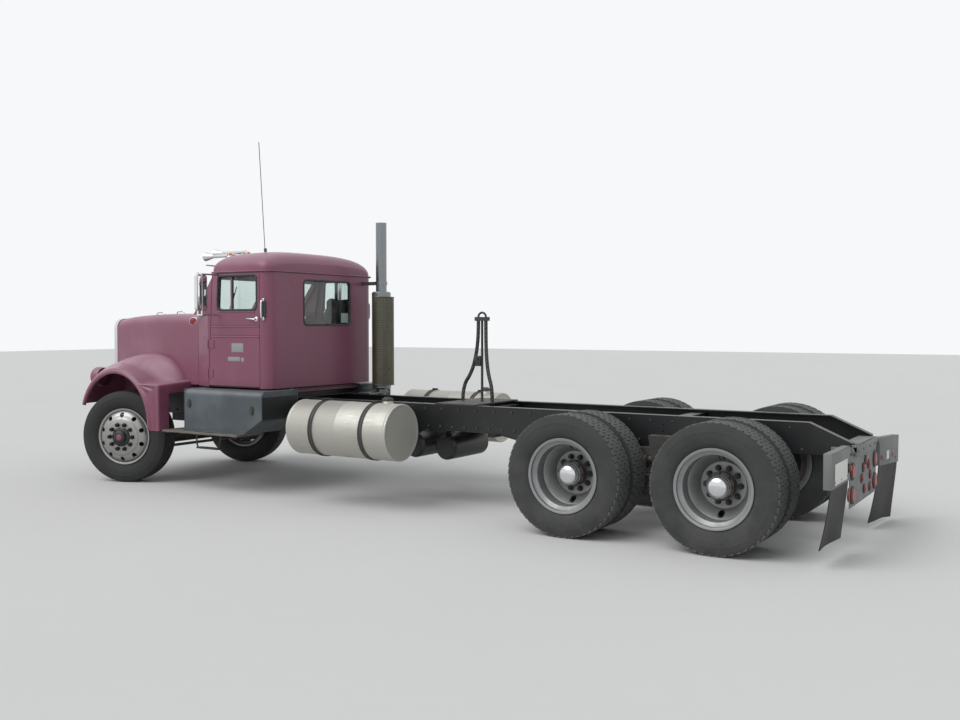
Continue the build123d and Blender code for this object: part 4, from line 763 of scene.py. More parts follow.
def makeBoltTree():
    # round bolt heads in a straight row
    tree, given, result = nodeTree("boltRow",
        [("Count", "int", 8), ("Start", "vector", (0, 0, 0)), ("Step", "vector", (0.1, 0, 0)),
        ("Turn", "vector", (pi / 2, 0, 0)), ("Head Radius", "float", 0.011), ("Head Height", "float", 0.012),
        ("Sides", "int", 6), ("Material", "material", None)])
    row = geoNode(tree, "GeometryNodeMeshLine",
        {"Count": given["Count"], "Start Location": given["Start"], "Offset": given["Step"]}, mode="OFFSET")
    head = geoNode(tree, "GeometryNodeMeshCylinder",
        {"Vertices": given["Sides"], "Radius": given["Head Radius"], "Depth": given["Head Height"]})
    turn = geoNode(tree, "FunctionNodeEulerToRotation", {"Euler": given["Turn"]})
    spread = geoNode(tree, "GeometryNodeInstanceOnPoints",
        {"Points": row.outputs[0], "Instance": head.outputs["Mesh"], "Rotation": turn.outputs[0]})
    return finishTree(tree, spread.outputs[0], given["Material"], result)


def makeTreadTree():
    # one row of blocks round the tyre, skewed, about the Y axis
    tree, given, result = nodeTree("treadRow",
        [("Count", "int", 54), ("Radius", "float", 0.522), ("Length", "float", 0.052), ("Width", "float", 0.04),
        ("Depth", "float", 0.016), ("Across", "float", 0.0), ("Shift", "float", 0.0), ("Skew", "float", 0.2),
        ("Camber", "float", 0.0), ("Material", "material", None)])
    points = geoNode(tree, "GeometryNodePoints", {"Count": given["Count"]})
    index = geoNode(tree, "GeometryNodeInputIndex").outputs[0]
    angle = mathNode(tree, "DIVIDE", times(tree, plus(tree, index, given["Shift"]), 2 * pi), given["Count"])
    spot = vectorNode(tree, times(tree, given["Radius"], mathNode(tree, "SINE", angle)), given["Across"],
        times(tree, given["Radius"], mathNode(tree, "COSINE", angle)))
    ring = geoNode(tree, "GeometryNodeSetPosition", {"Geometry": points.outputs[0], "Position": spot})
    size = vectorNode(tree, given["Length"], given["Width"], given["Depth"])
    block = geoNode(tree, "GeometryNodeMeshCube", {"Size": size})
    tilt = geoNode(tree, "FunctionNodeEulerToRotation",
        {"Euler": vectorNode(tree, given["Camber"], 0.0, given["Skew"])})
    skewed = geoNode(tree, "GeometryNodeTransform",
        {"Geometry": block.outputs["Mesh"], "Rotation": tilt.outputs[0]})
    turn = geoNode(tree, "FunctionNodeEulerToRotation", {"Euler": vectorNode(tree, 0.0, angle, 0.0)})
    spread = geoNode(tree, "GeometryNodeInstanceOnPoints",
        {"Points": ring.outputs[0], "Instance": skewed.outputs[0], "Rotation": turn.outputs[0]})
    return finishTree(tree, spread.outputs[0], given["Material"], result)


def makePerforatedTree():
    # one pierced cell repeated in rows, then bent round the muffler
    tree, given, result = nodeTree("piercedSheet",
        [("Cell", "object", None), ("Columns", "int", 22), ("Rows", "int", 52), ("Pitch", "float", 0.021),
        ("Rise", "float", 0.02), ("Radius", "float", 0.148), ("First Angle", "float", 1.6),
        ("Centre", "vector", (0, 0, 0)), ("Material", "material", None)])
    cell = geoNode(tree, "GeometryNodeObjectInfo", {"Object": given["Cell"]})
    total = times(tree, given["Columns"], given["Rows"])
    points = geoNode(tree, "GeometryNodePoints", {"Count": total})
    index = geoNode(tree, "GeometryNodeInputIndex").outputs[0]
    row = mathNode(tree, "FLOOR", mathNode(tree, "DIVIDE", index, given["Columns"]))
    column = mathNode(tree, "MODULO", index, given["Columns"])
    flat = vectorNode(tree, times(tree, column, given["Pitch"]), 0.0, times(tree, row, given["Rise"]))
    laid = geoNode(tree, "GeometryNodeSetPosition", {"Geometry": points.outputs[0], "Position": flat})
    spread = geoNode(tree, "GeometryNodeInstanceOnPoints",
        {"Points": laid.outputs[0], "Instance": cell.outputs["Geometry"]})
    solid = geoNode(tree, "GeometryNodeRealizeInstances", {"Geometry": spread.outputs[0]})
    welded = geoNode(tree, "GeometryNodeMergeByDistance", {"Geometry": solid.outputs[0], "Distance": 0.0003})
    place = geoNode(tree, "ShaderNodeSeparateXYZ",
        {"Vector": geoNode(tree, "GeometryNodeInputPosition").outputs[0]}).outputs
    angle = plus(tree, given["First Angle"], mathNode(tree, "DIVIDE", place["X"], given["Radius"]))
    reach = minus(tree, given["Radius"], place["Y"])
    bent = geoNode(tree, "ShaderNodeVectorMath",
        {0: given["Centre"], 1: vectorNode(tree, times(tree, reach, mathNode(tree, "COSINE", angle)),
        times(tree, reach, mathNode(tree, "SINE", angle)), place["Z"])}, operation="ADD")
    curved = geoNode(tree, "GeometryNodeSetPosition", {"Geometry": welded.outputs[0], "Position": bent.outputs[0]})
    return finishTree(tree, curved.outputs[0], given["Material"], result)


nutTree = makeNutTree()
boltTree = makeBoltTree()
treadTree = makeTreadTree()
piercedTree = makePerforatedTree()
print("node trees made")


# tyres
tyres = {"radius": 0.530, "halfWidth": 0.1425, "bead": 0.103, "segments": 120, "sharp": 26, "blocks": 54,
    "dualSpacing": 0.340, "sideRings": ((0.345, 0.119), (0.362, 0.1305), (0.370, 0.1325), (0.376, 0.1345),
    (0.390, 0.1395), (0.411, 0.1420), (0.432, 0.1425), (0.452, 0.1400), (0.456, 0.1408), (0.462, 0.1385),
    (0.478, 0.1350), (0.494, 0.1300), (0.507, 0.1255), (0.516, 0.1215)), "ribGrooves": (0.086, 0.030),
    "treadRows": ((-0.100, 0.038, 0.5, 0.22, 0.10), (-0.050, 0.044, 0.0, -0.30, 0.04), (0.0, 0.044, 0.5, 0.30, 0.0),
    (0.050, 0.044, 0.0, -0.30, -0.04), (0.100, 0.038, 0.5, 0.22, -0.10))}


def tyreProfile(blocks):
    outer = [(0.311, tyres["bead"]), (0.327, tyres["bead"] + 0.001)] + list(tyres["sideRings"])
    crown = 0.514 if blocks else 0.524
    tread = [(crown if blocks else 0.522, 0.1185), (crown, 0.113)]
    if not blocks:
        for place in tyres["ribGrooves"]:
            edge = tyres["radius"] - 0.006 * (place / 0.12) ** 2
            tread += [(edge, place + 0.008), (0.513, place + 0.006), (0.513, place - 0.006), (edge, place - 0.008)]
        tread.append((tyres["radius"], 0.0))
    else:
        tread.append((0.516, 0.0))
    half = outer + tread
    inner = [(0.311, 0.085), (0.341, 0.081)]
    ring = inner[::-1] + half
    return ring + [(r, -along) for r, along in ring[::-1] if along > 0]


def wheelPlace(node, side, angle=0.0):
    # from the wheel's own axes, outside towards +Y, to the truck
    return Matrix.Translation(middle(node)) @ Matrix.Rotation(radians(angle) + (pi if side < 0 else 0), 4, "Z")


steerAngle = 19.5
tyreRow = {"Count": tyres["blocks"], "Radius": 0.5198, "Length": 0.052, "Depth": 0.015}


def treadBlocks():
    bm = bmesh.new()
    for across, width, shift, skew, camber in tyres["treadRows"]:
        mesh = grow(treadTree, **tyreRow, Width=width, Across=across, Shift=shift, Skew=skew, Camber=camber,
            Material=finishes["tyre"])
        bm.from_mesh(mesh)
    return meshOf(bm, "treadBlocks")


blockMesh = treadBlocks()


def driveNames(number, word):
    return "drive%d_tyres_%s" % (number, word.lower()), "drive%d_wheels_%s" % (number, word.lower())


def dualPlaces(node, side):
    # the outer wheel of a pair, then the inner one
    return [wheelPlace(node, side) @ shift(0, offset * tyres["dualSpacing"], 0) for offset in (0.5, -0.5)]


def makeTyres():
    for side, word in sides:
        node = "front_tyre_" + word.lower()
        bm = bmesh.new()
        addLathe(bm, tyreProfile(False), wheelPlace(node, side, steerAngle), tyres["segments"], closed=True)
        finished(bm, "frontTyre" + word, "tyre_clean", "front_wheel_" + word.lower(), [node], sharp=tyres["sharp"])
        for number in (1, 2):
            node, body = driveNames(number, word)
            label, places = "%d%s" % (number, word), dualPlaces(node, side)
            bm = bmesh.new()
            for place in places:
                addLathe(bm, tyreProfile(True), place, tyres["segments"], closed=True)
            finished(bm, "driveTyres" + label, "tyre", body, [node], sharp=tyres["sharp"])
            tread = joined("driveTread" + label, [(blockMesh, place) for place in places], tyres["sharp"])
            dress(tread, "worn_tread", body)


makeTyres()
print("tyres made")


# wheels
wheels = {"discFace": 0.170, "domeRadius": 0.094}
# each ring of nuts: how many, the ring's radius, a nut's radius and height, a stud's radius and length
nutRings = {"nuts": (10, 0.1429, 0.021, 0.032, 0.011, 0.046), "flangeNuts": (8, 0.1075, 0.009, 0.012, 0.006, 0.018)}
# the discs' hand holes, and their outlines measured from the outer face
discs = {"frontDisc": {"holes": 10, "circle": 0.254, "radius": 0.026, "depth": (.05, .24),
    "steps": ((.110, -.014), (.110, 0), (.204, 0), (.208, -.002), (.213, -.010), (.218, -.013), (.240, -.016),
    (.262, -.026), (.282, -.042), (.296, -.062), (.303, -.078), (.303, -.098), (.285, -.070), (.262, -.048),
    (.200, -.014))}, "driveDisc": {"holes": 2, "circle": 0.226, "radius": 0.027, "depth": (.04, .24),
    "steps": ((.110, -.014), (.110, 0), (.184, 0), (.194, -.004), (.206, -.014), (.236, -.052), (.258, -.084),
    (.266, -.098), (.266, -.122), (.254, -.112), (.188, -.016))}}
barrelSteps = [(.324, -.117), (.326, -.113), (.324, -.106), (.313, -.103), (.311, -.083), (.300, -.072),
    (.276, -.062), (.273, -.055), (.273, .055), (.276, .062), (.300, .072), (.311, .083), (.313, .103),
    (.324, .106), (.326, .113), (.324, .117), (.316, .117), (.302, .112), (.302, .084), (.292, .074), (.268, .062),
    (.264, .052), (.264, -.052), (.268, -.062), (.292, -.074), (.302, -.084), (.302, -.112), (.316, -.117)]


def piercedDisc(name, steps, count, circle, radius, depth):
    # a turned disc with its hand holes cut through
    bm = bmesh.new()
    addLathe(bm, steps, Matrix.Identity(4), 96, closed=True)
    disc = closeMesh(bm, name)
    bm = bmesh.new()
    for number in range(count):
        angle = 2 * pi * (number + 0.5) / count
        spot = Vector((circle * cos(angle), 0, circle * sin(angle)))
        addRod(bm, spot + Vector((0, depth[0], 0)), spot + Vector((0, depth[1], 0)), radius, 28)
    cutter = closeMesh(bm, name + "Cutter")
    cut = disc.modifiers.new("handHoles", "BOOLEAN")
    cut.operation = "DIFFERENCE"
    cut.solver = "EXACT"
    cut.object = cutter
    settle(disc)
    bpy.data.objects.remove(cutter)
    mesh = disc.data
    bpy.data.objects.remove(disc)
    return mesh


def makeWheelMeshes():
    meshes = {}
    for name, disc in discs.items():
        outline = [(radius, wheels["discFace"] + along) for radius, along in disc["steps"]]
        meshes[name] = piercedDisc(name, outline, disc["holes"], disc["circle"], disc["radius"], disc["depth"])
    bm = bmesh.new()
    addLathe(bm, barrelSteps, Matrix.Identity(4), 96, closed=True)
    rim = closeMesh(bm, "rimBarrel", 40)
    meshes["barrel"] = rim.data
    bpy.data.objects.remove(rim)
    for name, (count, circle, nut, height, stud, length) in nutRings.items():
        meshes[name] = grow(nutTree, Count=count, Ring_Radius=circle, Nut_Radius=nut, Nut_Height=height,
            Stud_Radius=stud, Stud_Length=length, Material=finishes["chassis_iron"])
        meshes[name].transform(spin(-90, "X"))
    return meshes


wheelMeshes = makeWheelMeshes()
flip = spin(180, "Z")


def drumSteps(face):
    steps = [(.094, face - .026), (.205, face - .026), (.215, face - .034)]
    for number in range(4):
        low = face - .060 - number * .030
        steps += [(.215, low + .006), (.219, low + .004), (.219, low - .004), (.215, low - .006)]
    return steps + [(.216, face - .166), (.256, face - .168), (.256, face - .176), (.201, face - .176),
        (.201, face - .040), (.094, face - .040)]


def turnedPiece(name, lathes, place):
    bm = bmesh.new()
    for steps, closed in lathes:
        addLathe(bm, steps, place, 72, closed)
    return closeMesh(bm, name)


def makeFrontWheel(side, word):
    place = wheelPlace("front_tyre_" + word.lower(), side, steerAngle)
    body = "front_wheel_" + word.lower()
    face = wheels["discFace"]
    rim = joined("frontRim" + word, [(wheelMeshes["barrel"], place), (wheelMeshes["frontDisc"], place)])
    dress(rim, "wheel_aluminium", body, [body])
    nuts = joined("frontNuts" + word, [(wheelMeshes["nuts"], place @ shift(0, face, 0))])
    dress(nuts, "chassis_black", body)
    hub = [(.040, .036), (.040, face - .008), (0, face - .008), (0, face + .048), (.036, face + .048),
        (.038, face + .052), (.060, face + .050), (.070, face + .042), (.076, face + .020), (.100, face + .014),
        (.109, face + .008), (.109, face - .014), (.172, face - .014), (.175, face - .018), (.175, face - .040),
        (.095, face - .040), (.095, .036)]
    dress(turnedPiece("frontHub" + word, [(hub, True), (drumSteps(face - .014), True)], place), "chassis_black",
        body)
    cap = [(0, face + .0535), (.030, face + .0525), (.036, face + .049), (.036, face + .044), (0, face + .044)]
    dress(turnedPiece("frontHubCentre" + word, [(cap, False)], place), "cab_paint", body)


def makeDriveWheels(number, side, word):
    node, body = driveNames(number, word)
    place = wheelPlace(node, side)
    out, inner = dualPlaces(node, side)
    label = "%d%s" % (number, word)
    dress(joined("driveRims" + label, [(wheelMeshes["barrel"], out), (wheelMeshes["driveDisc"], out @ flip),
        (wheelMeshes["barrel"], inner), (wheelMeshes["driveDisc"], inner)]), "wheel_grey", body, [body])
    hub = [(.062, -.120), (.062, -.018), (0, -.018), (0, .112), (.100, .112), (.116, .110), (.118, .106),
        (.118, .098), (.112, .092), (.100, .086), (.098, .030), (.109, .020), (.109, -.014), (.172, -.014),
        (.175, -.018), (.175, -.040), (.095, -.040), (.095, -.120)]
    dress(turnedPiece("driveHub" + label, [(hub, True), (drumSteps(-.014), True)], place), "chassis_iron", body)
    nuts = [(wheelMeshes["nuts"], place @ shift(0, .014, 0)),
        (wheelMeshes["flangeNuts"], place @ shift(0, .112, 0))]
    dress(joined("driveNuts" + label, nuts), "chassis_black", body)
    r = wheels["domeRadius"]
    dome = [(r + .002, .110), (r + .004, .116), (r + .004, .128), (r, .132), (r, .150), (r * .985, .168),
        (r * .93, .184), (r * .8, .198), (r * .6, .2075), (r * .35, .2125), (0, .2145)]
    dress(turnedPiece("hubDome" + label, [(dome, False)], place), "bright_trim", body)


for side, word in sides:
    makeFrontWheel(side, word)
    for number in (1, 2):
        makeDriveWheels(number, side, word)
print("wheels made")


def eased(knots, x):
    # a smooth value at x through (x, value) knots
    if x <= knots[0][0]:
        return knots[0][1]
    if x >= knots[-1][0]:
        return knots[-1][1]
    slopes = []
    for number, (here, value) in enumerate(knots):
        low, high = knots[max(0, number - 1)], knots[min(len(knots) - 1, number + 1)]
        slopes.append((high[1] - low[1]) / (high[0] - low[0]))
    for number in range(len(knots) - 1):
        (x0, y0), (x1, y1) = knots[number], knots[number + 1]
        if x <= x1:
            gap, t = x1 - x0, (x - x0) / (x1 - x0)
            return (y0 * (1 + 2 * t) * (1 - t) ** 2 + slopes[number] * gap * t * (1 - t) ** 2
                    + y1 * t * t * (3 - 2 * t) + slopes[number + 1] * gap * t * t * (t - 1))


# the hood's outline; the fenders meet it
hood = {"backX": 2.690, "length": 1.730, "halfWidth": ((2.690, .742), (3.10, .688), (3.555, .616), (4.00, .548),
    (4.420, .478)), "top": ((2.690, 1.930), (3.10, 1.944), (3.555, 1.946), (4.00, 1.930), (4.28, 1.908),
    (4.420, 1.890)), "bottom": ((2.690, 1.140), (3.555, 1.100), (4.420, .960)), "corner": 0.12, "crown": 0.014,
    "wall": 0.010, "handles": (3.4695, 3.8265), "handleY": 0.30, "sideLamp": (2.800, 1.862)}

# fenders
fender = {"outerY": 1.197, "innerY": 0.640, "arcX": 3.585, "arcZ": 0.705, "arcRadius": 0.618, "crestX": 3.475,
    "crestZ": 0.838, "crestRadius": 0.640, "noseX": 4.272, "noseZ": 1.318, "noseCorner": 0.10, "backX": 2.845,
    "lowZ": 0.640, "frontZ": 0.890, "shelf": 1.152, "crestShelf": 1.182, "opening": 0.556, "band": 0.062,
    "edge": 0.020, "thickness": 0.006, "lamp": (4.277, .880, 1.195)}


# the outer face in rows: how deep between edge and band, or how far from the opening, and how far out
fenderFace = ((0.80, -.002), (0.74, -.010), (0.66, -.014), (0.58, -.010), (0.50, 0.001), (0.44, 0.004), (0.38, 0.0),
    (0.30, -.010), (0.20, -.015), (0.10, -.010))
fenderBand = ((0.040, 0.002), (0.035, 0.008), (0.027, 0.012), (0.016, 0.012), (0.006, 0.006), (0.0, -0.004),
    (0.002, -0.020))


def splitLine(start, end, count):
    return [(start[0] + (end[0] - start[0]) * n / count, start[1] + (end[1] - start[1]) * n / count)
        for n in range(count)]


def curveLine(start, bend, end, count):
    # a plain quadratic curve
    points = []
    for n in range(count):
        t = n / count
        points.append(tuple(start[i] * (1 - t) ** 2 + bend[i] * 2 * t * (1 - t) + end[i] * t * t for i in (0, 1)))
    return points


def archRow():
    f = fender
    x, z, r = f["arcX"], f["arcZ"], f["arcRadius"]
    rim = lambda a: (x + r * sin(radians(a)), z + r * cos(radians(a)))
    joinX = x - sqrt(r * r - (f["shelf"] - z) ** 2)
    joinAngle = -degrees(atan2(joinX - x, f["shelf"] - z))
    points = [rim(72.5 - 72.5 * n / 30) for n in range(30)]
    points += [rim(-joinAngle * n / 20) for n in range(20)]
    points += splitLine((joinX, f["shelf"]), (f["backX"] + .03, f["shelf"]), 8)
    points += curveLine((f["backX"] + .03, f["shelf"]), (f["backX"], f["shelf"]), (f["backX"], f["shelf"] - .03), 4)
    points += splitLine((f["backX"], f["shelf"] - .03), (f["backX"], f["lowZ"]), 12)
    return points + [(f["backX"], f["lowZ"])]


def crestRow():
    f = fender
    x, z, r = f["crestX"], f["crestZ"], f["crestRadius"]
    corner = f["noseCorner"]
    high = f["noseZ"]
    points = splitLine((f["noseX"], f["frontZ"]), (f["noseX"], high - corner), 8)
    points += curveLine((f["noseX"], high - corner), (f["noseX"], high), (f["noseX"] - corner, high), 8)
    points += curveLine((f["noseX"] - corner, high), ((f["noseX"] + x) / 2 - .02, z + r + .012), (x, z + r), 14)
    joinX = x - sqrt(r * r - (f["crestShelf"] - z) ** 2)
    angle = -degrees(atan2(joinX - x, f["crestShelf"] - z))
    points += [(x - r * sin(radians(angle * n / 20)), z + r * cos(radians(angle * n / 20))) for n in range(20)]
    points += splitLine((joinX, f["crestShelf"]), (f["backX"] + .03, f["crestShelf"]), 8)
    points += curveLine((f["backX"] + .03, f["crestShelf"]), (f["backX"], f["crestShelf"]),
        (f["backX"], f["crestShelf"] - .03), 4)
    points += splitLine((f["backX"], f["crestShelf"] - .03), (f["backX"], f["lowZ"]), 12)
    return points + [(f["backX"], f["lowZ"])]


def fenderRows(side):
    f = fender
    arch, crest = archRow(), crestRow()
    count = len(arch)
    rows = []
    near = lambda x: min(f["innerY"], eased(hood["halfWidth"], x) - .006)
    for share in (0, .5, 1):
        rows.append([(x, near(x) * (1 - share) + .690 * share, z - .010 * (1 - share) ** 2) for x, z in crest])
    steps = 18
    for number in range(steps + 1):
        s = number / steps
        y = 0.700 + (f["outerY"] - f["edge"] - 0.700) * s
        row = []
        for k in range(count):
            # crowned in front, hollow behind, straight in the leg
            forward = max(0.0, min(1.0, 1 - (k - 18) / 16))
            leg = max(0.0, min(1.0, (k - 48) / 8))
            crowned = s ** 1.6
            part = min(1.0, s / .50)
            hollow = part * part * (3 - 2 * part)
            g = crowned * forward + hollow * (1 - forward)
            g = g * (1 - leg) + s * leg
            row.append((crest[k][0] + (arch[k][0] - crest[k][0]) * g, y,
                crest[k][1] + (arch[k][1] - crest[k][1]) * g))
        rows.append(row)
    # the rounded outer edge
    for turn in (22.5, 45, 67.5, 90):
        drop, out = f["edge"] * (1 - cos(radians(turn))), f["edge"] * (sin(radians(turn)) - 1)
        rows.append([bandPoint(spot, 1.0, out, drop=drop) for spot in arch])
    # the face with the leg's hollows, then the raised band round the opening
    rows += [[bandPoint(spot, depth, out) for spot in arch] for depth, out in fenderFace]
    rows += [[bandPoint(spot, None, out, reach) for spot in arch] for reach, out in fenderBand]
    return [[(x, side * y, z) for x, y, z in row] for row in rows]


def bandPoint(spot, depth, out, reach=None, drop=None):
    f = fender
    x, z = spot
    r = f["opening"]
    if z >= f["arcZ"]:
        way = Vector((x - f["arcX"], z - f["arcZ"]))
        edge = (f["arcX"] + way.x / way.length * r, f["arcZ"] + way.y / way.length * r)
    else:
        edge = (f["arcX"] - r, z)
    gap = Vector((x - edge[0], z - edge[1]))
    full = max(gap.length, 1e-6)
    if drop is not None:
        keep, ridge = full - drop, out
    elif reach is None:
        keep = min(0.040 + max(0.0, full - 0.040) * depth, full - f["edge"])
        ridge = out * min(1.0, max(0.0, full / f["band"] - 1))
    else:
        keep, ridge = min(reach, full - f["edge"]), out
    return (edge[0] + gap.x / full * keep, f["outerY"] + ridge, edge[1] + gap.y / full * keep)


def makeFender(side, word):
    f = fender
    bm = bmesh.new()
    addSheet(bm, fenderRows(side))
    bmesh.ops.remove_doubles(bm, verts=bm.verts, dist=0.0003)
    # the leg is open at its back
    gone = []
    for face in bm.faces:
        x, y, z = face.calc_center_median()
        if x < f["backX"] + .02 and z < f["shelf"] - .092 and abs(y) < 1.04:
            gone.append(face)
    bmesh.ops.delete(bm, geom=gone, context="FACES")
    top = max(bm.faces, key=lambda face: face.calc_center_median().z)
    top.normal_update()
    if top.normal.z < 0:
        bmesh.ops.reverse_faces(bm, faces=bm.faces)
    name = "fenderSkin" + word
    skin = walled(newPiece(name, meshOf(bm, name)), f["thickness"], 50)
    dress(skin, "cab_paint", "hood")
    bm = bmesh.new()
    addSlab(bm, (f["backX"], side * 1.05, f["lowZ"] - .004), (3.028, side * 1.05 + side * .145, f["lowZ"] + .006),
        .002)
    x, y, z = f["lamp"]
    place = shift(x, side * y, z) @ spin(-90, "Z")
    pod = [(.106, -.11), (.114, -.09), (.118, -.012), (.115, -.003), (.108, .0), (.096, -.004), (.094, -.06),
        (0, -.06)]
    addLathe(bm, pod, place, 64)
    finished(bm, "lampPod" + word, "cab_paint", "hood")
    bezel = [(.110, -.002), (.110, .004), (.106, .009), (.098, .010), (.091, .004), (.091, -.030), (.094, -.030)]
    bm = bmesh.new()
    addLathe(bm, bezel, place, 64, closed=True)
    finished(bm, "lampBezel" + word, "bright_trim", "hood")
    return skin


skins = [makeFender(side, word) for side, word in sides]
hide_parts("fenders")
print("fenders made")


def roundedLoop(corners, radius, steps=5):
    # a closed outline with its corners rounded, one radius each or one for all
    points = []
    for number, corner in enumerate(corners):
        r = radius[number] if isinstance(radius, tuple) else radius
        spot = Vector(corner)
        before = (Vector(corners[number - 1]) - spot).normalized() * r
        after = (Vector(corners[(number + 1) % len(corners)]) - spot).normalized() * r
        for n in range(steps + 1):
            t = n / steps
            points.append(spot + before * (1 - t) ** 2 + after * t * t)
    return points


def roundedBox(low, high, foot, head, radius):
    return roundedLoop([(low, foot), (high, foot), (high, head), (low, head)], radius)


def addFrame(bm, loop, profile, put):
    # a strip of one section round an outline; profile is (inwards, outwards), put places (a, b, outwards)
    area = sum(a.x * b.y - b.x * a.y for a, b in zip(loop, loop[1:] + loop[:1]))
    rows = []
    for inset, out in profile:
        row = []
        for number, spot in enumerate(loop):
            way = (loop[(number + 1) % len(loop)] - loop[number - 1]).normalized()
            inward = Vector((-way.y, way.x)) * (1 if area > 0 else -1)
            moved = spot + inward * inset
            row.append(put(moved.x, moved.y, out))
        rows.append(row)
    addSheet(bm, rows + rows[:1], closed=True)


gasketSection = ((-.013, -.002), (-.011, .005), (-.004, .008), (.004, .007), (.010, .001), (.012, -.008),
    (.012, -.020), (-.004, -.020))
seamSection = ((-.0016, -.003), (-.0016, .0006), (.0016, .0006), (.0016, -.003))


# roof
roof = {"backX": 1.458, "length": 0.847, "eave": 2.392, "rise": 0.248, "halfWidth": 0.895, "corner": 0.12,
    "power": 3.2, "crown": ((0, .42), (.012, .51), (.035, .65), (.07, .79), (.12, .89), (.20, .955), (.33, 1.0),
    (.60, .99), (.707, .965), (.760, .92), (.802, .82), (.828, .72), (.847, .60)), "wall": 0.010, "lampX": 2.235,
    "lampY": (-.685, -.40, 0, .40, .685), "dripRail": [(2.300, .900, 2.398), (1.62, .900, 2.398),
    (1.50, .900, 2.398), (1.453, .850, 2.398), (1.453, .76, 2.398)]}


def roofHalf(u):
    r = roof["corner"]
    if u < r:
        return roof["halfWidth"] - r + sqrt(max(0.0, r * r - (r - u) ** 2))
    return roof["halfWidth"] - .025 * max(0.0, (u - .80) / .047) ** 2


def makeRoof():
    stations = {0, .004, .012, .022, .035, .05, .07, .095, .12, .75, .775, .79, .802, .812, .822, .832, .84, .847}
    stations.update(.12 + .05 * n for n in range(13))
    rows = []
    for u in sorted(stations):
        half, crown = roofHalf(u), eased(roof["crown"], u) * roof["rise"]
        row = []
        for n in range(49):
            a = pi * n / 48
            across, up = abs(cos(a)) ** (2 / roof["power"]), sin(a) ** (2 / roof["power"])
            row.append((roof["backX"] + u, half * across * (1 if a < pi / 2 else -1), roof["eave"] + crown * up))
        rows.append(row)
    rows.insert(0, [(x, y, roof["eave"]) for x, y, z in rows[0]])
    rows.append([(x, y, roof["eave"]) for x, y, z in rows[-1]])
    bm = bmesh.new()
    addSheet(bm, rows)
    skin = closeMesh(bm, "roofSkin", 40)
    topOutward(skin)
    dress(walled(skin, roof["wall"], 40), "cab_paint", "chassis", ["cab_roof"])
    # drip rail along the eave, round the back corners
    line = roof["dripRail"]
    bm = bmesh.new()
    addTube(bm, line + [(x, -y, z) for x, y, z in line[::-1]], .0065)
    finished(bm, "dripRail", "cab_paint")
    bm = bmesh.new()
    line = [(x, y + (.001 if y > .8 else 0), 2.3895) for x, y, z in line]
    addTube(bm, line + [(x, -y, z) for x, y, z in line[::-1]], .004)
    finished(bm, "eaveSeal", "hose_rubber")
    shells, domes = blanks(2)
    for y in roof["lampY"]:
        across = (1 - (abs(y) / .89) ** roof["power"]) ** (1 / roof["power"])
        spot = Vector((roof["lampX"], y, roof["eave"] + roof["rise"] * eased(roof["crown"],
            roof["lampX"] - roof["backX"]) * across))
        place = Matrix.Translation(spot) @ spin(12, "Y") @ spin(90, "X")
        addLathe(shells, [(.0, -.012), (.038, -.012), (.040, -.002), (.036, .010), (.031, .012), (.0, .012)], place,
            28)
        addLathe(domes, [(.031, .010), (.030, .024), (.026, .036), (.017, .045), (0, .048)], place, 28)
    finished(shells, "roofLampBases", "bright_trim")
    finished(domes, "roofLampLenses", "amber_lens")


makeRoof()
print("roof made")


# hood
def hoodSection(x, out=0.0):
    half, top, low = (eased(hood[key], x) for key in ("halfWidth", "top", "bottom"))
    half, top, r = half + out, top + out, hood["corner"]
    side = [(half, low + (top - r - low) * n / 8) for n in range(8)]
    side += [(half - r + r * cos(radians(a)), top - r + r * sin(radians(a))) for a in range(0, 91, 10)]
    flat = half - r
    side += [(flat * (1 - n / 7), top + hood["crown"] * (1 - (1 - n / 7) ** 2)) for n in range(1, 8)]
    return [(x, y, z) for y, z in side] + [(x, -y, z) for y, z in side[-2::-1]]


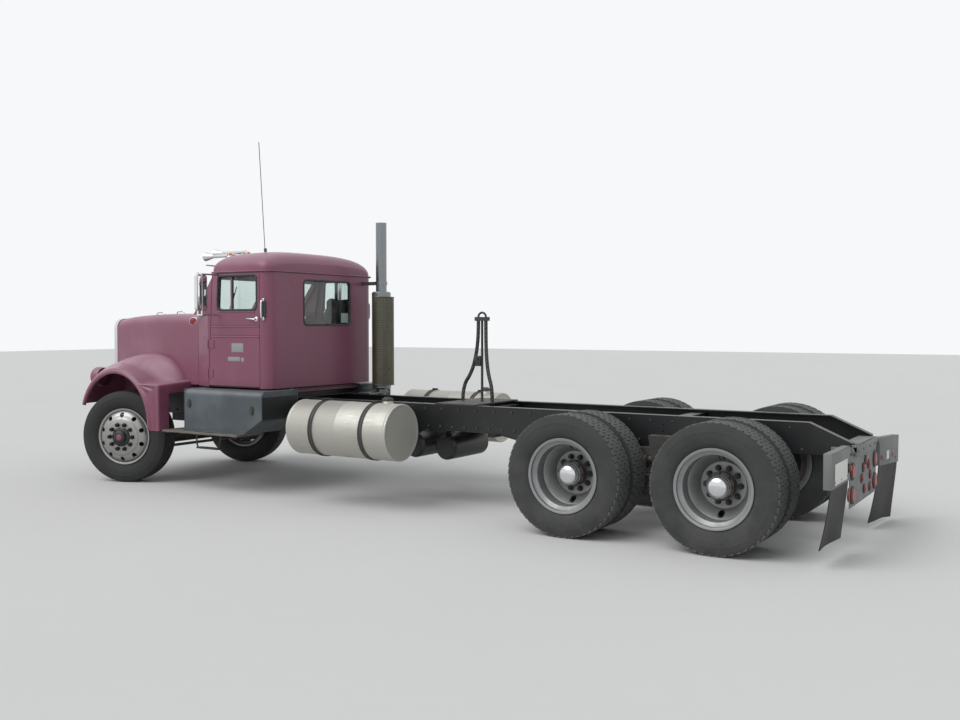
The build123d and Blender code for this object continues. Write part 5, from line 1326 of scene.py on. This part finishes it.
def makeHood():
    bm = bmesh.new()
    addSheet(bm, [hoodSection(hood["backX"] + hood["length"] * n / 28) for n in range(29)])
    skin = closeMesh(bm, "hoodSkin", 40)
    topOutward(skin)
    walled(skin, hood["wall"], 40)
    bm = bmesh.new()
    bm.from_mesh(skin.data)
    for side in (-1, 1):
        addSlab(bm, (4.275, side * .450 - .016, .770), (4.414, side * .450 + .016, 1.09), .004)
    bpy.data.objects.remove(skin)
    dress(newPiece("hoodShell", meshOf(bm, "hoodShell", 40)), "cab_paint", "hood", ["hood"])
    # rubber lacing behind the hood, with a painted bead in front of it
    for name, finish, low, high, out in (("hoodSeal", "hose_rubber", 2.6815, 2.6905, .002),
            ("hoodRearBead", "cab_paint", 2.691, 2.706, .003)):
        bm = bmesh.new()
        rows = [hoodSection(x, o) for x, o in ((low, -.012), (low, out * .6), ((low + high) / 2, out),
            (high, out * .6), (high, -.012))]
        addSheet(bm, rows + rows[:1])
        bmesh.ops.remove_doubles(bm, verts=bm.verts, dist=.00002)
        closeEnds(bm)
        finished(bm, name, finish, "hood")
    handles, glass, shell = blanks(3)
    for side in (-1, 1):
        for x in hood["handles"]:
            z, y = eased(hood["top"], x) + .010, side * hood["handleY"]
            addTube(handles, [(x - .070, y, z - .004), (x - .064, y, z + .020), (x - .035, y, z + .026),
                (x + .035, y, z + .026), (x + .064, y, z + .020), (x + .070, y, z - .004)], .0075)
            for foot in (-.068, .068):
                addSlab(handles, (x + foot - .014, y - .012, z - .008), (x + foot + .014, y + .012, z + .001), .002)
        x, z = hood["sideLamp"]
        place = shift(x, side * (eased(hood["halfWidth"], x) - .030), z) @ spin(-side * 8, "X")
        if side < 0:
            place = place @ flip
        place = place @ spin(18, "Z")
        addLathe(shell, [(0, -.055), (.030, -.050), (.045, -.032), (.051, -.005), (.052, .018), (.050, .026),
            (.044, .028), (.041, .020), (.041, .008), (0, .008)], place, 40)
        addLathe(glass, [(.0415, .008), (.0415, .020), (.038, .027), (.026, .034), (.012, .0375), (0, .038)], place,
            40)
    finished(handles, "hoodHandles", "bright_trim", "hood")
    finished(shell, "sideLampShells", "bright_trim", "hood")
    finished(glass, "sideLampLenses", "red_lens", "hood")


makeHood()
print("hood made")


# doors and cab sides
doorway = {"backX": 1.590, "frontX": 2.365, "lean": 0.070, "low": 1.150, "high": 2.389, "sill": 1.980,
    "head": 2.352, "plane": 0.895, "recess": (1.505, 1.566, 1.890, 2.085),
    "cowlPanel": (2.425, 2.505, 1.419, 1.687), "lever": (1.640, 1.880),
    "leverLine": ((1.632, 1.880, .028), (1.645, 1.880, .034), (1.690, 1.883, .036), (1.728, 1.887, .034),
    (1.748, 1.888, .028)), "grabLine": ((1.536, 1.884, .001), (1.536, 1.888, .030), (1.536, 1.930, .038),
    (1.536, 2.040, .038), (1.536, 2.082, .030), (1.536, 2.086, .001)), "creases": (1.812, 1.702),
    "patches": ((1.834, 2.009, 1.523, 1.619), (1.884, 2.065, 1.424, 1.470), (1.824, 1.868, 1.420, 1.463))}


def doorEdge(z):
    return doorway["frontX"] - doorway["lean"] * (z - doorway["low"]) / (doorway["high"] - doorway["low"])


def makeDoorParts(side, word):
    d, body = doorway, "door_" + word.lower()
    put = lambda x, z, out: (x, side * (d["plane"] + out), z)
    window = roundedLoop([(d["backX"] + .045, d["sill"]), (doorEdge(d["sill"]) - .092, d["sill"]),
        (doorEdge(d["head"]) - .092, d["head"]), (d["backX"] + .045, d["head"])], (.060, .075, .035, .035))
    bm = bmesh.new()
    addFrame(bm, window, gasketSection, put)
    addSlab(bm, put(2.000 - .006, d["sill"], -.028), put(2.000 + .006, d["head"], -.006), .002)
    finished(bm, "windowGasket" + word, "hose_rubber", body)
    trim, dark, patch, chrome = blanks(4)
    for z in d["creases"]:
        start, end = d["backX"] + .012, doorEdge(z) - .014
        addRod(trim, put(start, z - .012, -.003), put(end, z - .012, -.003), .009, 16)
        # painted shade: a dark strip along each crease stands for the shade in it
        addSlab(dark, put(start, z, -.002), put(end, z + .005, .0006))
    for low, high, foot, head in d["patches"]:
        addSlab(patch, put(low, foot, -.002), put(high, head, .0012), .0008)
    # the frame below the window, and the lever on its round plate
    addRod(trim, put(d["backX"] + .07, d["sill"] - .020, -.004),
        put(doorEdge(d["sill"]) - .115, d["sill"] - .020, -.004), .010, 16)
    turned = Matrix.Translation(put(*d["lever"], 0)) @ (flip if side < 0 else Matrix.Identity(4))
    addLathe(chrome, [(0, -.004), (.026, -.004), (.026, .004), (.020, .009), (.012, .011), (.011, .030), (0, .030)],
        turned, 32)
    addTube(chrome, [put(*spot) for spot in d["leverLine"]], .0085)
    finished(trim, "doorCreases" + word, "cab_paint", body)
    finished(dark, "doorGrooves" + word, "hose_rubber", body)
    finished(patch, "doorPatches" + word, "patch_grey", body)
    finished(chrome, "doorLever" + word, "bright_trim", body)
    bm = bmesh.new()
    addSlab(bm, (2.1362, side * 1.190 - .062, 1.982), (2.1392, side * 1.190 + .062, 2.343), .001)
    finished(bm, "mirrorGlass" + word, "mirror_silver", body)
    # on the cab itself: the door's dark gap, the grab handle in its recess, painted as a dark band of shade, the
    # cowl's narrow panel
    dark, chrome = blanks(2)
    edge = roundedLoop([(d["backX"] - .002, d["low"] - .002), (d["frontX"] + .002, d["low"] - .002),
        (doorEdge(2.38) + .003, 2.380), (d["backX"] - .002, 2.380)], .012)
    addFrame(dark, edge, ((-.0022, -.004), (-.0022, .0008), (.0012, .0008), (.0012, -.004)), put)
    # painted shade: a dark band inside the recess's outline stands for its shaded walls
    addFrame(dark, roundedBox(*d["recess"], .028), ((0, -.003), (0, .0010), (.026, .0004), (.026, -.003)), put)
    addTube(chrome, [put(*spot) for spot in d["grabLine"]], .0085)
    for z in (1.884, 2.086):
        addSlab(chrome, put(1.520, z - .016, -.002), put(1.552, z + .016, .005), .003)
    slant = lambda x, z, out: (x, side * (.895 - (x - 2.375) * (.145 / .305) + out), z)
    addFrame(dark, roundedBox(*d["cowlPanel"], .016), seamSection, slant)
    finished(dark, "sideSeams" + word, "hose_rubber")
    finished(chrome, "grabHandle" + word, "bright_trim")


# the cab's rear wall; the channel below it is folded to the sill's section
rearWall = {"x": 1.456, "window": (-.460, .340, 1.820, 2.316), "notice": (1.4775, -.318, 1.846),
    "noticeSize": (.128, .112), "sill": ((1.450, 1.081), (1.424, 1.081), (1.420, 1.085), (1.420, 1.121),
    (1.424, 1.125), (1.450, 1.125), (1.450, 1.121), (1.4255, 1.121), (1.424, 1.119), (1.424, 1.087),
    (1.4255, 1.085), (1.450, 1.085)), "sillEnds": (-.679, .591)}


def makeRearWallParts():
    wall = rearWall
    bm = bmesh.new()
    addFrame(bm, roundedBox(*wall["window"], .050), gasketSection, lambda y, z, out: (wall["x"] - out, y, z))
    finished(bm, "rearWindowGasket", "hose_rubber")
    bm = bmesh.new()
    (x, y, z), (wide, high) = wall["notice"], wall["noticeSize"]
    rows = [[(x + .004 * sin(n / 10 * pi) * sin(m / 10 * pi), y - wide * n / 10, z + high * m / 10)
        for n in range(11)] for m in range(11)]
    addSheet(bm, rows)
    dress(walled(closeMesh(bm, "windowNotice"), .0006), "notice_paper")
    bm = bmesh.new()
    rows = [[(x, y, z) for x, z in wall["sill"]] for y in wall["sillEnds"]]
    addSheet(bm, rows, closed=True)
    closeEnds(bm)
    finished(bm, "rearSill", "cab_paint")


for side, word in sides:
    makeDoorParts(side, word)
makeRearWallParts()
print("doors and cab sides made")


# step boxes and boards
boxes = {"backX": 1.355, "frontX": 2.520, "outerY": 1.110, "lowZ": 0.655, "topZ": 1.118, "slopeX": 0.278,
    "slopeZ": 0.826, "latches": ((2.440, .955), (1.500, .915)),
    "planks": ((.800, .918), (.924, 1.044), (1.050, 1.170)), "boardX": (1.655, 2.815),
    "hooks": (((1.960, .636, 0), (1.962, .600, .002), (1.975, .530, .008), (1.992, .488, .008),
    (2.020, .482, .008)), ((2.330, .636, 0), (2.328, .600, .002), (2.318, .530, .008), (2.306, .488, .008),
    (2.285, .482, .008)))}


def makeStepBoxes(side, word):
    b = boxes
    put = lambda x, z, out: (x, side * (b["outerY"] + out), z)
    edge, latch = blanks(2)
    for x in (b["frontX"] - .004, b["backX"] + .006):
        slope = [(b["outerY"] - .070, b["topZ"]), (b["outerY"] - .020, b["topZ"] + .001),
            (b["outerY"], b["topZ"] - .022), (b["outerY"] + .001, b["topZ"] - .075)]
        low = b["lowZ"] + .01 if x > 2 else b["slopeZ"] + .01
        addTube(edge, [(x, side * y, z) for y, z in [(.62, b["topZ"])] + slope + [(b["outerY"] + .001, low)]],
            .0045, smoothness=3)
    addTube(edge, [put(b["backX"] + .004, b["slopeZ"] + .006, 0), put(b["backX"] + .008, b["slopeZ"] - .002, 0),
        put(b["backX"] + b["slopeX"], b["lowZ"] + .006, 0),
        put(b["backX"] + b["slopeX"] + .01, b["lowZ"] + .004, 0)], .0045, smoothness=3)
    addRod(edge, put(b["backX"] + b["slopeX"], b["lowZ"] + .004, 0), put(b["frontX"] - .004, b["lowZ"] + .004, 0),
        .0045, 12)
    finished(edge, "boxEdges" + word, "tread_plate")
    # painted shade: a black sheet over the rear of the box, whose face there stands in shadow
    back, x, top = bmesh.new(), b["backX"] - .0015, b["topZ"] - .060
    inY, outY = side * .575, side * (b["outerY"] - .008)
    addSheet(back, [[(x, y, top), (x, y, b["slopeZ"]), (x + b["slopeX"], y, b["lowZ"] + .002)]
        for y in (inY, (inY + outY) / 2, outY)])
    finished(back, "boxBack" + word, "chassis_black")
    for x, z in b["latches"]:
        oval = [Vector((x + .030 * cos(2 * pi * n / 24), z + .052 * sin(2 * pi * n / 24))) for n in range(24)]
        addFrame(latch, oval, ((0, -.002), (0, .005), (.006, .007), (.010, .003), (.018, .001), (.018, -.002)), put)
        addSlab(latch, put(x - .010, z - .034, .000), put(x + .010, z + .034, .008), .003)
        addRod(latch, put(x - .014, z, .006), put(x + .014, z, .006), .006, 12)
    finished(latch, "boxLatches" + word, "strap_steel")
    boards, iron = blanks(2)
    for number, (low, high) in enumerate(b["planks"]):
        steps, rows = 26, []
        for n in range(steps + 1):
            x = b["boardX"][0] + .006 * number * (n == 0) + (b["boardX"][1] - b["boardX"][0]) * n / steps
            wave = .0012 * sin(x * 9 + number * 2) + .0008 * sin(x * 31 + number)
            rows.append([(x, side * y, z + wave) for y, z in ((low, .6325), (low, .6505), (low + .004, .6540),
                ((low + high) / 2, .6532), (high - .004, .6540), (high, .6505), (high, .6325))])
        addSheet(boards, rows, closed=True)
    closeEnds(boards)
    finished(boards, "boardPlanks" + word, "step_wood", stands=["step_boards"] if side > 0 else (), sharp=50)
    for line in b["hooks"]:
        addTube(iron, [put(*spot) for spot in line], .009)
    addSideSlab(iron, side, (1.990, 1.050, .472), (2.320, 1.130, .488), .004)
    for x in (1.72, 2.24, 2.74):
        addSideSlab(iron, side, (x - .018, .78, .622), (x + .018, 1.165, .6315), .002)
    finished(iron, "boardIrons" + word, "chassis_black")


for side, word in sides:
    makeStepBoxes(side, word)
print("step boxes and boards made")


# fuel tanks and their straps
tanks = {"backX": -0.3345, "length": 1.250, "y": 0.958, "z": 0.775, "radius": 0.280, "straps": (-.0345, .5955),
    "neckX": -.1345, "neckY": 0.918}


def makeTanks():
    t = tanks
    r, length = t["radius"], t["length"]
    along = spin(-90, "Z")
    end = [(0, .016), (.100, .0145), (.190, .011), (.245, .007), (.262, .003), (.270, .0), (.276, .002),
        (r - .001, .008), (r, .016), (r, .026), (r - .002, .029), (r - .0035, .033), (r - .002, .037)]
    seams = [(r - .002, length * .5 - .008), (r, length * .5 - .003), (r, length * .5 + .003),
        (r - .002, length * .5 + .008)]
    shell, caps, straps, iron = blanks(4)
    for side in (1, -1):
        place = shift(t["backX"], side * t["y"], t["z"]) @ along
        addLathe(shell, end + seams + [(radius, length - x) for radius, x in end[::-1]], place, 96)
        upright = shift(t["neckX"], side * t["neckY"], t["z"]) @ spin(90, "X")
        addLathe(shell, [(.062, r - .020), (.060, r - .006), (.051, r + .004), (.048, r + .012), (.048, r + .022),
            (0, r + .022)], upright, 40)
        addLathe(caps, [(.050, r + .020), (.056, r + .022), (.057, r + .034), (.054, r + .042), (.040, r + .046),
            (.038, r + .050), (0, r + .052)], upright, 40)
        addSlab(caps, (t["neckX"] - .040, side * t["neckY"] - .006, t["z"] + r + .044),
            (t["neckX"] + .040, side * t["neckY"] + .006, t["z"] + r + .058), .003)
        for x in t["straps"]:
            place = shift(x, side * t["y"], t["z"]) @ along
            band = [(r + .0005, -.026), (r + .003, -.026), (r + .008, -.022), (r + .008, -.014), (r + .003, -.010),
                (r + .003, .010), (r + .008, .014), (r + .008, .022), (r + .003, .026), (r + .0005, .026)]
            addLathe(straps, band, place, 96, closed=True)
            addRod(iron, (x, side * (t["y"] + .03) - .03, t["z"] + r + .012),
                (x, side * (t["y"] + .03) + .05, t["z"] + r + .012), .008, 12)
            addSlab(iron, (x - .024, side * t["y"] - .020, t["z"] + r + .002),
                (x + .024, side * t["y"] + .012, t["z"] + r + .022), .004)
            # bracket from the rail, hollowed to the tank
            rows = []
            for n in range(15):
                a = radians(20 + 120 * n / 14) if side > 0 else radians(160 - 120 * n / 14)
                near = (t["y"] * side - side * (r + .006) * sin(a), t["z"] + (r + .006) * cos(a))
                rows.append(((near[0], near[1]), (side * .434, min(max(near[1], .700), .960))))
            for low, high in ((-.026, -.020), (.020, .026)):
                front = [[(x + low, *spot) for spot in row] for row in rows]
                back = [[(x + high, *spot) for spot in row] for row in rows]
                a, b = addSheet(iron, front), addSheet(iron, back)
                # the plate's rim, all the way round
                a, b = ([row[0] for row in made] + [row[1] for row in made[::-1]] for made in (a, b))
                for n in range(len(a)):
                    m = (n + 1) % len(a)
                    iron.faces.new((a[n], a[m], b[m], b[n]))
            addSideSlab(iron, side, (x - .026, .432, .700), (x + .026, .442, .960), .002)
    finished(shell, "tankShells", "tank_aluminium", stands=["fuel_tanks"])
    finished(caps, "tankCaps", "strap_steel")
    finished(straps, "tankBands", "strap_steel", stands=["tank_straps"])
    finished(iron, "tankBrackets", "chassis_black")


makeTanks()
print("tanks made")


# pierced shield round the muffler
shield = {"stackX": 1.181, "stackY": -0.705, "radius": 0.148, "lowZ": 1.110, "highZ": 2.150, "opening": 82.2,
    "columns": 25, "rows": 52, "hole": 0.0068, "sheet": 0.003}


def makeShield():
    s = shield
    arc = radians(360 - 2 * s["opening"]) * s["radius"]
    pitch, rise = arc / s["columns"], (s["highZ"] - s["lowZ"]) / s["rows"]
    bm = bmesh.new()
    corners = ((.5, 0), (.5, .5), (0, .5), (-.5, .5), (-.5, 0), (-.5, -.5), (0, -.5), (.5, -.5))
    faces = []
    for depth in (0.0, s["sheet"]):
        outer = [bm.verts.new((pitch * (a + .5), depth, rise * (b + .5))) for a, b in corners]
        inner = [bm.verts.new((pitch * .5 + s["hole"] * cos(n * pi / 4), depth,
            rise * .5 + s["hole"] * sin(n * pi / 4))) for n in range(8)]
        faces.append((outer, inner))
    for n in range(8):
        m = (n + 1) % 8
        (outA, inA), (outB, inB) = faces
        bm.faces.new((outA[n], outA[m], inA[m], inA[n]))
        bm.faces.new((outB[m], outB[n], inB[n], inB[m]))
        bm.faces.new((inA[n], inA[m], inB[m], inB[n]))
    cell = newPiece("piercedCell", meshOf(bm, "piercedCell"))
    sheet = grow(piercedTree, Cell=cell, Columns=s["columns"], Rows=s["rows"], Pitch=pitch, Rise=rise,
        Radius=s["radius"], First_Angle=radians(s["opening"]), Centre=(s["stackX"], s["stackY"], s["lowZ"]),
        Material=finishes["shield_black"])
    bpy.data.objects.remove(cell)
    bm = bmesh.new()
    bm.from_mesh(sheet)
    for z in (s["lowZ"] + .006, s["highZ"] - .006):
        line = []
        for n in range(25):
            a = radians(s["opening"] + (360 - 2 * s["opening"]) * n / 24)
            line.append((s["stackX"] + (s["radius"] + .001) * cos(a), s["stackY"] + (s["radius"] + .001) * sin(a),
                z))
        addTube(bm, line, .006, smoothness=3)
    for side in (-1, 1):
        a = radians(s["opening"]) * side
        spot = (s["stackX"] + s["radius"] * cos(a), s["stackY"] + s["radius"] * sin(a))
        addRod(bm, (*spot, s["lowZ"]), (*spot, s["highZ"]), .005, 12)
    for z in (1.30, 1.95):
        for a in (110, 180, 250):
            way = Vector((cos(radians(a)), sin(radians(a)), 0))
            centre = Vector((s["stackX"], s["stackY"], z))
            addRod(bm, centre + way * .108, centre + way * .147, .009, 10)
    finished(bm, "shieldSheet", "shield_black", stands=["stack_shield"], sharp=40)


makeShield()
print("shield made")


# tail: lamps, plate, hangers and flaps
tail = {"panelX": -4.398, "cluster": ((-.060, .684), (-.190, .634), (.030, .632), (-.265, .540), (.086, .548),
    (-.250, .436), (-.012, .450)), "lampX": -4.424,
    "lamps": ((-.455, .650), (-.455, .460), (.455, .650), (.455, .460)), "jointX": -4.377, "jointY": .430,
    "armZ": .806, "hangers": ((.600, .868, .140, 0.0, 0.0), (.580, .830, .062, 2.5, 5.0)), "innerY": .590,
    "outerY": 1.205}


def hangerPlace(side, droop, swing):
    joint = shift(tail["jointX"], side * tail["jointY"], tail["armZ"])
    turn = spin(-side * droop, "X") @ spin(side * swing, "Z")
    return joint @ turn @ joint.inverted()


def addLamp(shell, glass, place, r):
    addLathe(shell, [(r + .010, -.010), (r + .012, .004), (r + .010, .012), (r + .004, .014), (r, .010),
        (r, -.010)], place, 36, closed=True)
    addLathe(glass, [(r, -.004), (r, .010), (r * .9, .017), (r * .6, .022), (r * .25, .0245), (0, .025)], place, 36)


def makeTail():
    t = tail
    facing = spin(90, "Z")
    shell, glass = blanks(2)
    for y, z in t["cluster"]:
        addLamp(shell, glass, shift(t["panelX"] + .004, y, z) @ facing, .030)
    for y, z in t["lamps"]:
        place = shift(t["lampX"] + .022, y, z) @ facing
        addLathe(shell, [(.056, -.006), (.072, -.004), (.073, .004), (.068, .009), (.060, .010), (.057, .006)],
            place, 48, closed=True)
    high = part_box("rear_crossmember")[1].z
    bm = bmesh.new()
    addSlab(bm, (-4.418, -.336, high + .001), (-4.290, .336, high + .007), .0015)
    addSlab(bm, (-4.4235, -.400, high - .095), (-4.4205, .400, high - .002), .001)
    for y in (-.33, -.12, .14, .34):
        addRod(bm, (-4.4235, y, high - .050), (-4.430, y, high - .050), .011, 6)
    finished(bm, "tailPlate", "panel_white")
    bm = bmesh.new()
    addSlab(bm, (-.650, -.032, 1.395), (-.585, .032, 1.500), .006)
    addRod(bm, (-.660, 0, 1.440), (-.560, 0, 1.455), .012, 14)
    addRod(bm, (-.618, -.050, 1.475), (-.618, .050, 1.475), .014, 14)
    finished(bm, "standConnectors", "strap_steel")
    finished(glass, "clusterLenses", "red_lens")
    finished(shell, "lampGrommets", "hose_rubber")
    for (side, word), (low, high, bottom, droop, swing) in zip(sides, t["hangers"]):
        place = hangerPlace(side, droop, swing)
        hanger, flap, shell, glass, plate = blanks(5)
        ys = sorted((side * t["innerY"], side * t["outerY"]))
        # folded sheet: its back, top and two ends
        addSlab(hanger, (-4.408, ys[0], low), (-4.404, ys[1], high), .001, place)
        addSlab(hanger, (-4.408, ys[0], high - .004), (-4.346, ys[1], high), .001, place)
        for y in ys:
            addSlab(hanger, (-4.4072, y - .002, low), (-4.346, y + .002, high), .001, place)
        x, z = t["jointX"], t["armZ"]
        addRod(hanger, place @ Vector((x, side * .438, z)), place @ Vector((x, side * 1.175, z)), .020, 28)
        addRod(hanger, (x, side * t["jointY"], z), (x, side * .470, z), .034, 28)
        addSideSlab(hanger, side, (-4.388, t["jointY"], .776), (-4.230, .444, .836), .004)
        for y in (.70, .90, 1.10):
            addRod(hanger, place @ Vector((-4.4075, side * y, low + .045)),
                place @ Vector((-4.413, side * y, low + .045)), .011, 6)
        finished(hanger, "hangerSheet" + word, "panel_white", stands=["mudflap_hangers"] if side > 0 else ())
        # the flap: a rubber sheet that has taken a set, its lower edge forward and its outer corner curled
        top, rows = low + .090, []
        for n in range(31):
            v = n / 30
            row = []
            for m in range(17):
                u = m / 16
                y = t["innerY"] + .012 + (t["outerY"] - t["innerY"] - .024) * u
                drift = .070 * v ** 1.7 + .016 * sin(pi * v) * sin(pi * u) + .030 * v ** 3 * (u - .5) * side
                wave = .006 * sin(7 * u + 3 * v) * v
                row.append(place @ Vector((-4.4035 + drift + wave, side * y,
                    top + (bottom - top) * v + .010 * v * sin(pi * u))))
            rows.append(row)
        addSheet(flap, rows)
        skin = closeMesh(flap, "mudflap" + word, 60)
        if sum(face.normal.x for face in skin.data.polygons) > 0:
            skin.data.flip_normals()
        dress(walled(skin, .008, 60), "flap_rubber", "chassis", ["mudflaps"] if side > 0 else ())
        if side > 0:
            addSlab(plate, (-4.4125, .690, .622), (-4.4095, 1.115, .782), .0012)
            for y, z in ((.72, .765), (1.085, .765)):
                addRod(plate, (-4.413, y, z), (-4.416, y, z), .006, 10)
            addLamp(shell, glass, shift(-4.409, .640, .700) @ facing, .026)
        else:
            addLamp(shell, glass, place @ shift(-4.390, -1.00, .660) @ facing, .028)
            addLamp(shell, glass, place @ shift(-4.396, -.640, .655) @ facing, .018)
            addSlab(plate, (-4.4115, -.880, .625), (-4.4095, -.800, .705), .001, place)
        finished(glass, "hangerLens" + word, "red_lens")
        finished(shell, "hangerGrommet" + word, "hose_rubber")
        finished(plate, "hangerPlate" + word, "notice_paper")


makeTail()
print("tail made")


# bolts along the rails
bolts = {"inset": .007, "height": .014, "rows": ((.440, 2.0, 4.25, 16, .800), (.440, -4.0, 2.0, 42, .800),
    (.440, -3.9, 2.2, 30, .975)), "head": 0.011}


def makeRailBolts():
    bm = bmesh.new()
    for side in (1, -1):
        for y, low, high, count, z in bolts["rows"]:
            mesh = grow(boltTree, Count=count, Start=(low, side * (y - bolts["inset"]), z),
                Step=((high - low) / count, 0, 0), Turn=(pi / 2, 0, 0), Head_Radius=bolts["head"],
                Head_Height=bolts["height"], Sides=6, Material=finishes["chassis_iron"])
            bm.from_mesh(mesh)
    dress(newPiece("railBolts", meshOf(bm, "railBolts")), "chassis_iron")


makeRailBolts()
print("rail bolts made")


# seats and what stands round them
seats = {"x": 1.856, "y": 0.470, "baseZ": 1.433, "voxel": 0.006, "pressure": 4.0, "cap": 0.024,
    "channels": (-.105, -.035, .035, .105), "frames": 20, "channelDent": (.010, .008), "edgeY": .195,
    "edgeDent": (.006, .006), "cushion": ((-.222, .018), (.240, .018), (.236, .108), (-.222, .100)),
    "back": ((-.228, .148), (-.108, .148), (-.214, .704), (-.300, .704))}


def addPad(bm, corners, halfWidth):
    loop = roundedLoop(corners, .040)
    centre = sum(loop, Vector((0, 0))) / len(loop)
    rows = []
    for along, shrink in ((-1, .86), (-.975, .93), (-.94, .975), (-.88, 1), (0, 1), (.88, 1), (.94, .975),
            (.975, .93), (1, .86)):
        rows.append([(seats["x"] + (centre + (p - centre) * shrink).x, halfWidth * along,
            seats["baseZ"] + (centre + (p - centre) * shrink).y) for p in loop])
    addSheet(bm, rows, closed=True)
    closeEnds(bm)


def dent(away, depth, width):
    # a sewn line's rounded dent
    return depth * 2.718 ** -((away / width) ** 2)


def makePads():
    # both pads of a seat, blown up as cloth, then their sewn channels pressed in
    bm = bmesh.new()
    addPad(bm, seats["cushion"], .232)
    addPad(bm, seats["back"], .222)
    pads = closeMesh(bm, "seatPads")
    mesher = pads.modifiers.new("voxels", "REMESH")
    mesher.mode = "VOXEL"
    mesher.voxel_size = seats["voxel"]
    settle(pads, 180)
    mesh = pads.data
    rest = [v.co.copy() for v in mesh.vertices]
    cloth = pads.modifiers.new("cloth", "CLOTH")
    cloth.settings.use_pressure = True
    cloth.settings.uniform_pressure_force = seats["pressure"]
    cloth.settings.effector_weights.gravity = 0
    for frameNumber in range(1, seats["frames"] + 1):
        scene.frame_set(frameNumber)
    blown = evaluated(pads)
    pads.modifiers.clear()
    scene.frame_set(1)
    for vert, start, end in zip(mesh.vertices, rest, blown.vertices):
        move = end.co - start
        vert.co = start + move * min(1.0, seats["cap"] / max(move.length, 1e-9))
    mesh.update()
    normals = [v.normal.copy() for v in mesh.vertices]
    for vert, normal in zip(mesh.vertices, normals):
        front = max(0.0, normal.z) if vert.co.z < seats["baseZ"] + .14 else max(0.0, normal.x)
        depth = sum(dent(vert.co.y - y, *seats["channelDent"]) for y in seats["channels"])
        edge = dent(abs(vert.co.y) - seats["edgeY"], *seats["edgeDent"])
        vert.co -= normal * (depth * front * (abs(vert.co.y) < .18) + edge * front)
    mesh.shade_smooth()
    return pads


def makeSeats():
    pads = makePads()
    for side, word in sides:
        mesh = pads.data.copy()
        mesh.transform(shift(0, side * seats["y"], 0))
        seat = newPiece("seatPads" + word, mesh)
        dress(seat, "seat_cloth", "chassis", ["seats"] if side > 0 else ())
        bm = bmesh.new()
        x, y, z = seats["x"], side * seats["y"], seats["baseZ"]
        addSlab(bm, (x - .235, y - .238, z - .030), (x + .235, y + .238, z - .002), .010)
        # the folds of the seat's skirt
        for n in range(5):
            fold = .012 * (n % 2)
            addSlab(bm, (x - .150 - fold, y - .160 - fold, 1.150 + .050 * n),
                (x + .150 + fold, y + .160 + fold, 1.200 + .050 * n), .014)
        addSlab(bm, (x - .210, y - .200, 1.1345), (x + .210, y + .200, 1.152), .004)
        for foot in (-.12, .12):
            addTube(bm, [(x - .225, y + foot, z - .012), (x - .262, y + foot, z + .02),
                (x - .262, y + foot, z + .16), (x - .318, y + foot, z + .55), (x - .315, y + foot, z + .66)], .011)
        finished(bm, "seatBase" + word, "dash_plastic")
    bpy.data.objects.remove(pads)


makeSeats()
print("seats made")


# cab fittings: gauges, gear lever, wipers
fittings = {"gaugeY": -.29, "gaugeStep": .095, "gauges": (.030, .030, .040, .040, .030, .030),
    "knob": (2.115, .081, 1.735), "lever": ((2.22, .06, 1.14), (2.22, .06, 1.40), (2.17, .07, 1.60),
    (2.12, .08, 1.72)), "wiper": (2.625, .34, 1.935)}


def makeCabFittings():
    low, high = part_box("dashboard")
    rings, faces = blanks(2)
    for n, r in enumerate(fittings["gauges"]):
        place = shift(low.x + .001, fittings["gaugeY"] + fittings["gaugeStep"] * n, high.z - .075) @ spin(90, "Z")
        addLathe(rings, [(r, -.004), (r + .006, -.004), (r + .006, .006), (r, .008)], place, 32, closed=True)
        addLathe(faces, [(r, .001), (0, .0015)], place, 32)
    finished(rings, "gaugeRings", "bright_trim")
    finished(faces, "gaugeFaces", "patch_grey")
    bm = bmesh.new()
    addTube(bm, fittings["lever"], .010)
    addLathe(bm, [(0, -.030), (.016, -.026), (.024, -.008), (.024, .010), (.016, .024), (0, .028)],
        shift(*fittings["knob"]) @ spin(90, "X"), 28)
    lean = Vector((-.330, 0, .437)).normalized()
    out = Vector((.437, 0, .330)).normalized()
    for side in (-1, 1):
        x, y, z = fittings["wiper"]
        foot = Vector((x, side * y, z)) + out * .020
        tip = foot + lean * .30 + Vector((0, side * .06, 0))
        addRod(bm, foot - out * .03, foot + out * .008, .014, 16)
        addTube(bm, [foot, foot + lean * .12 + out * .012, tip + out * .010, tip], .005)
        addRod(bm, tip - lean * .17 - Vector((0, side * .05, 0)), tip + lean * .09 + Vector((0, side * .02, 0)),
            .006, 10)
    finished(bm, "leverAndWipers", "dash_plastic")


makeCabFittings()
print("cab fittings made")
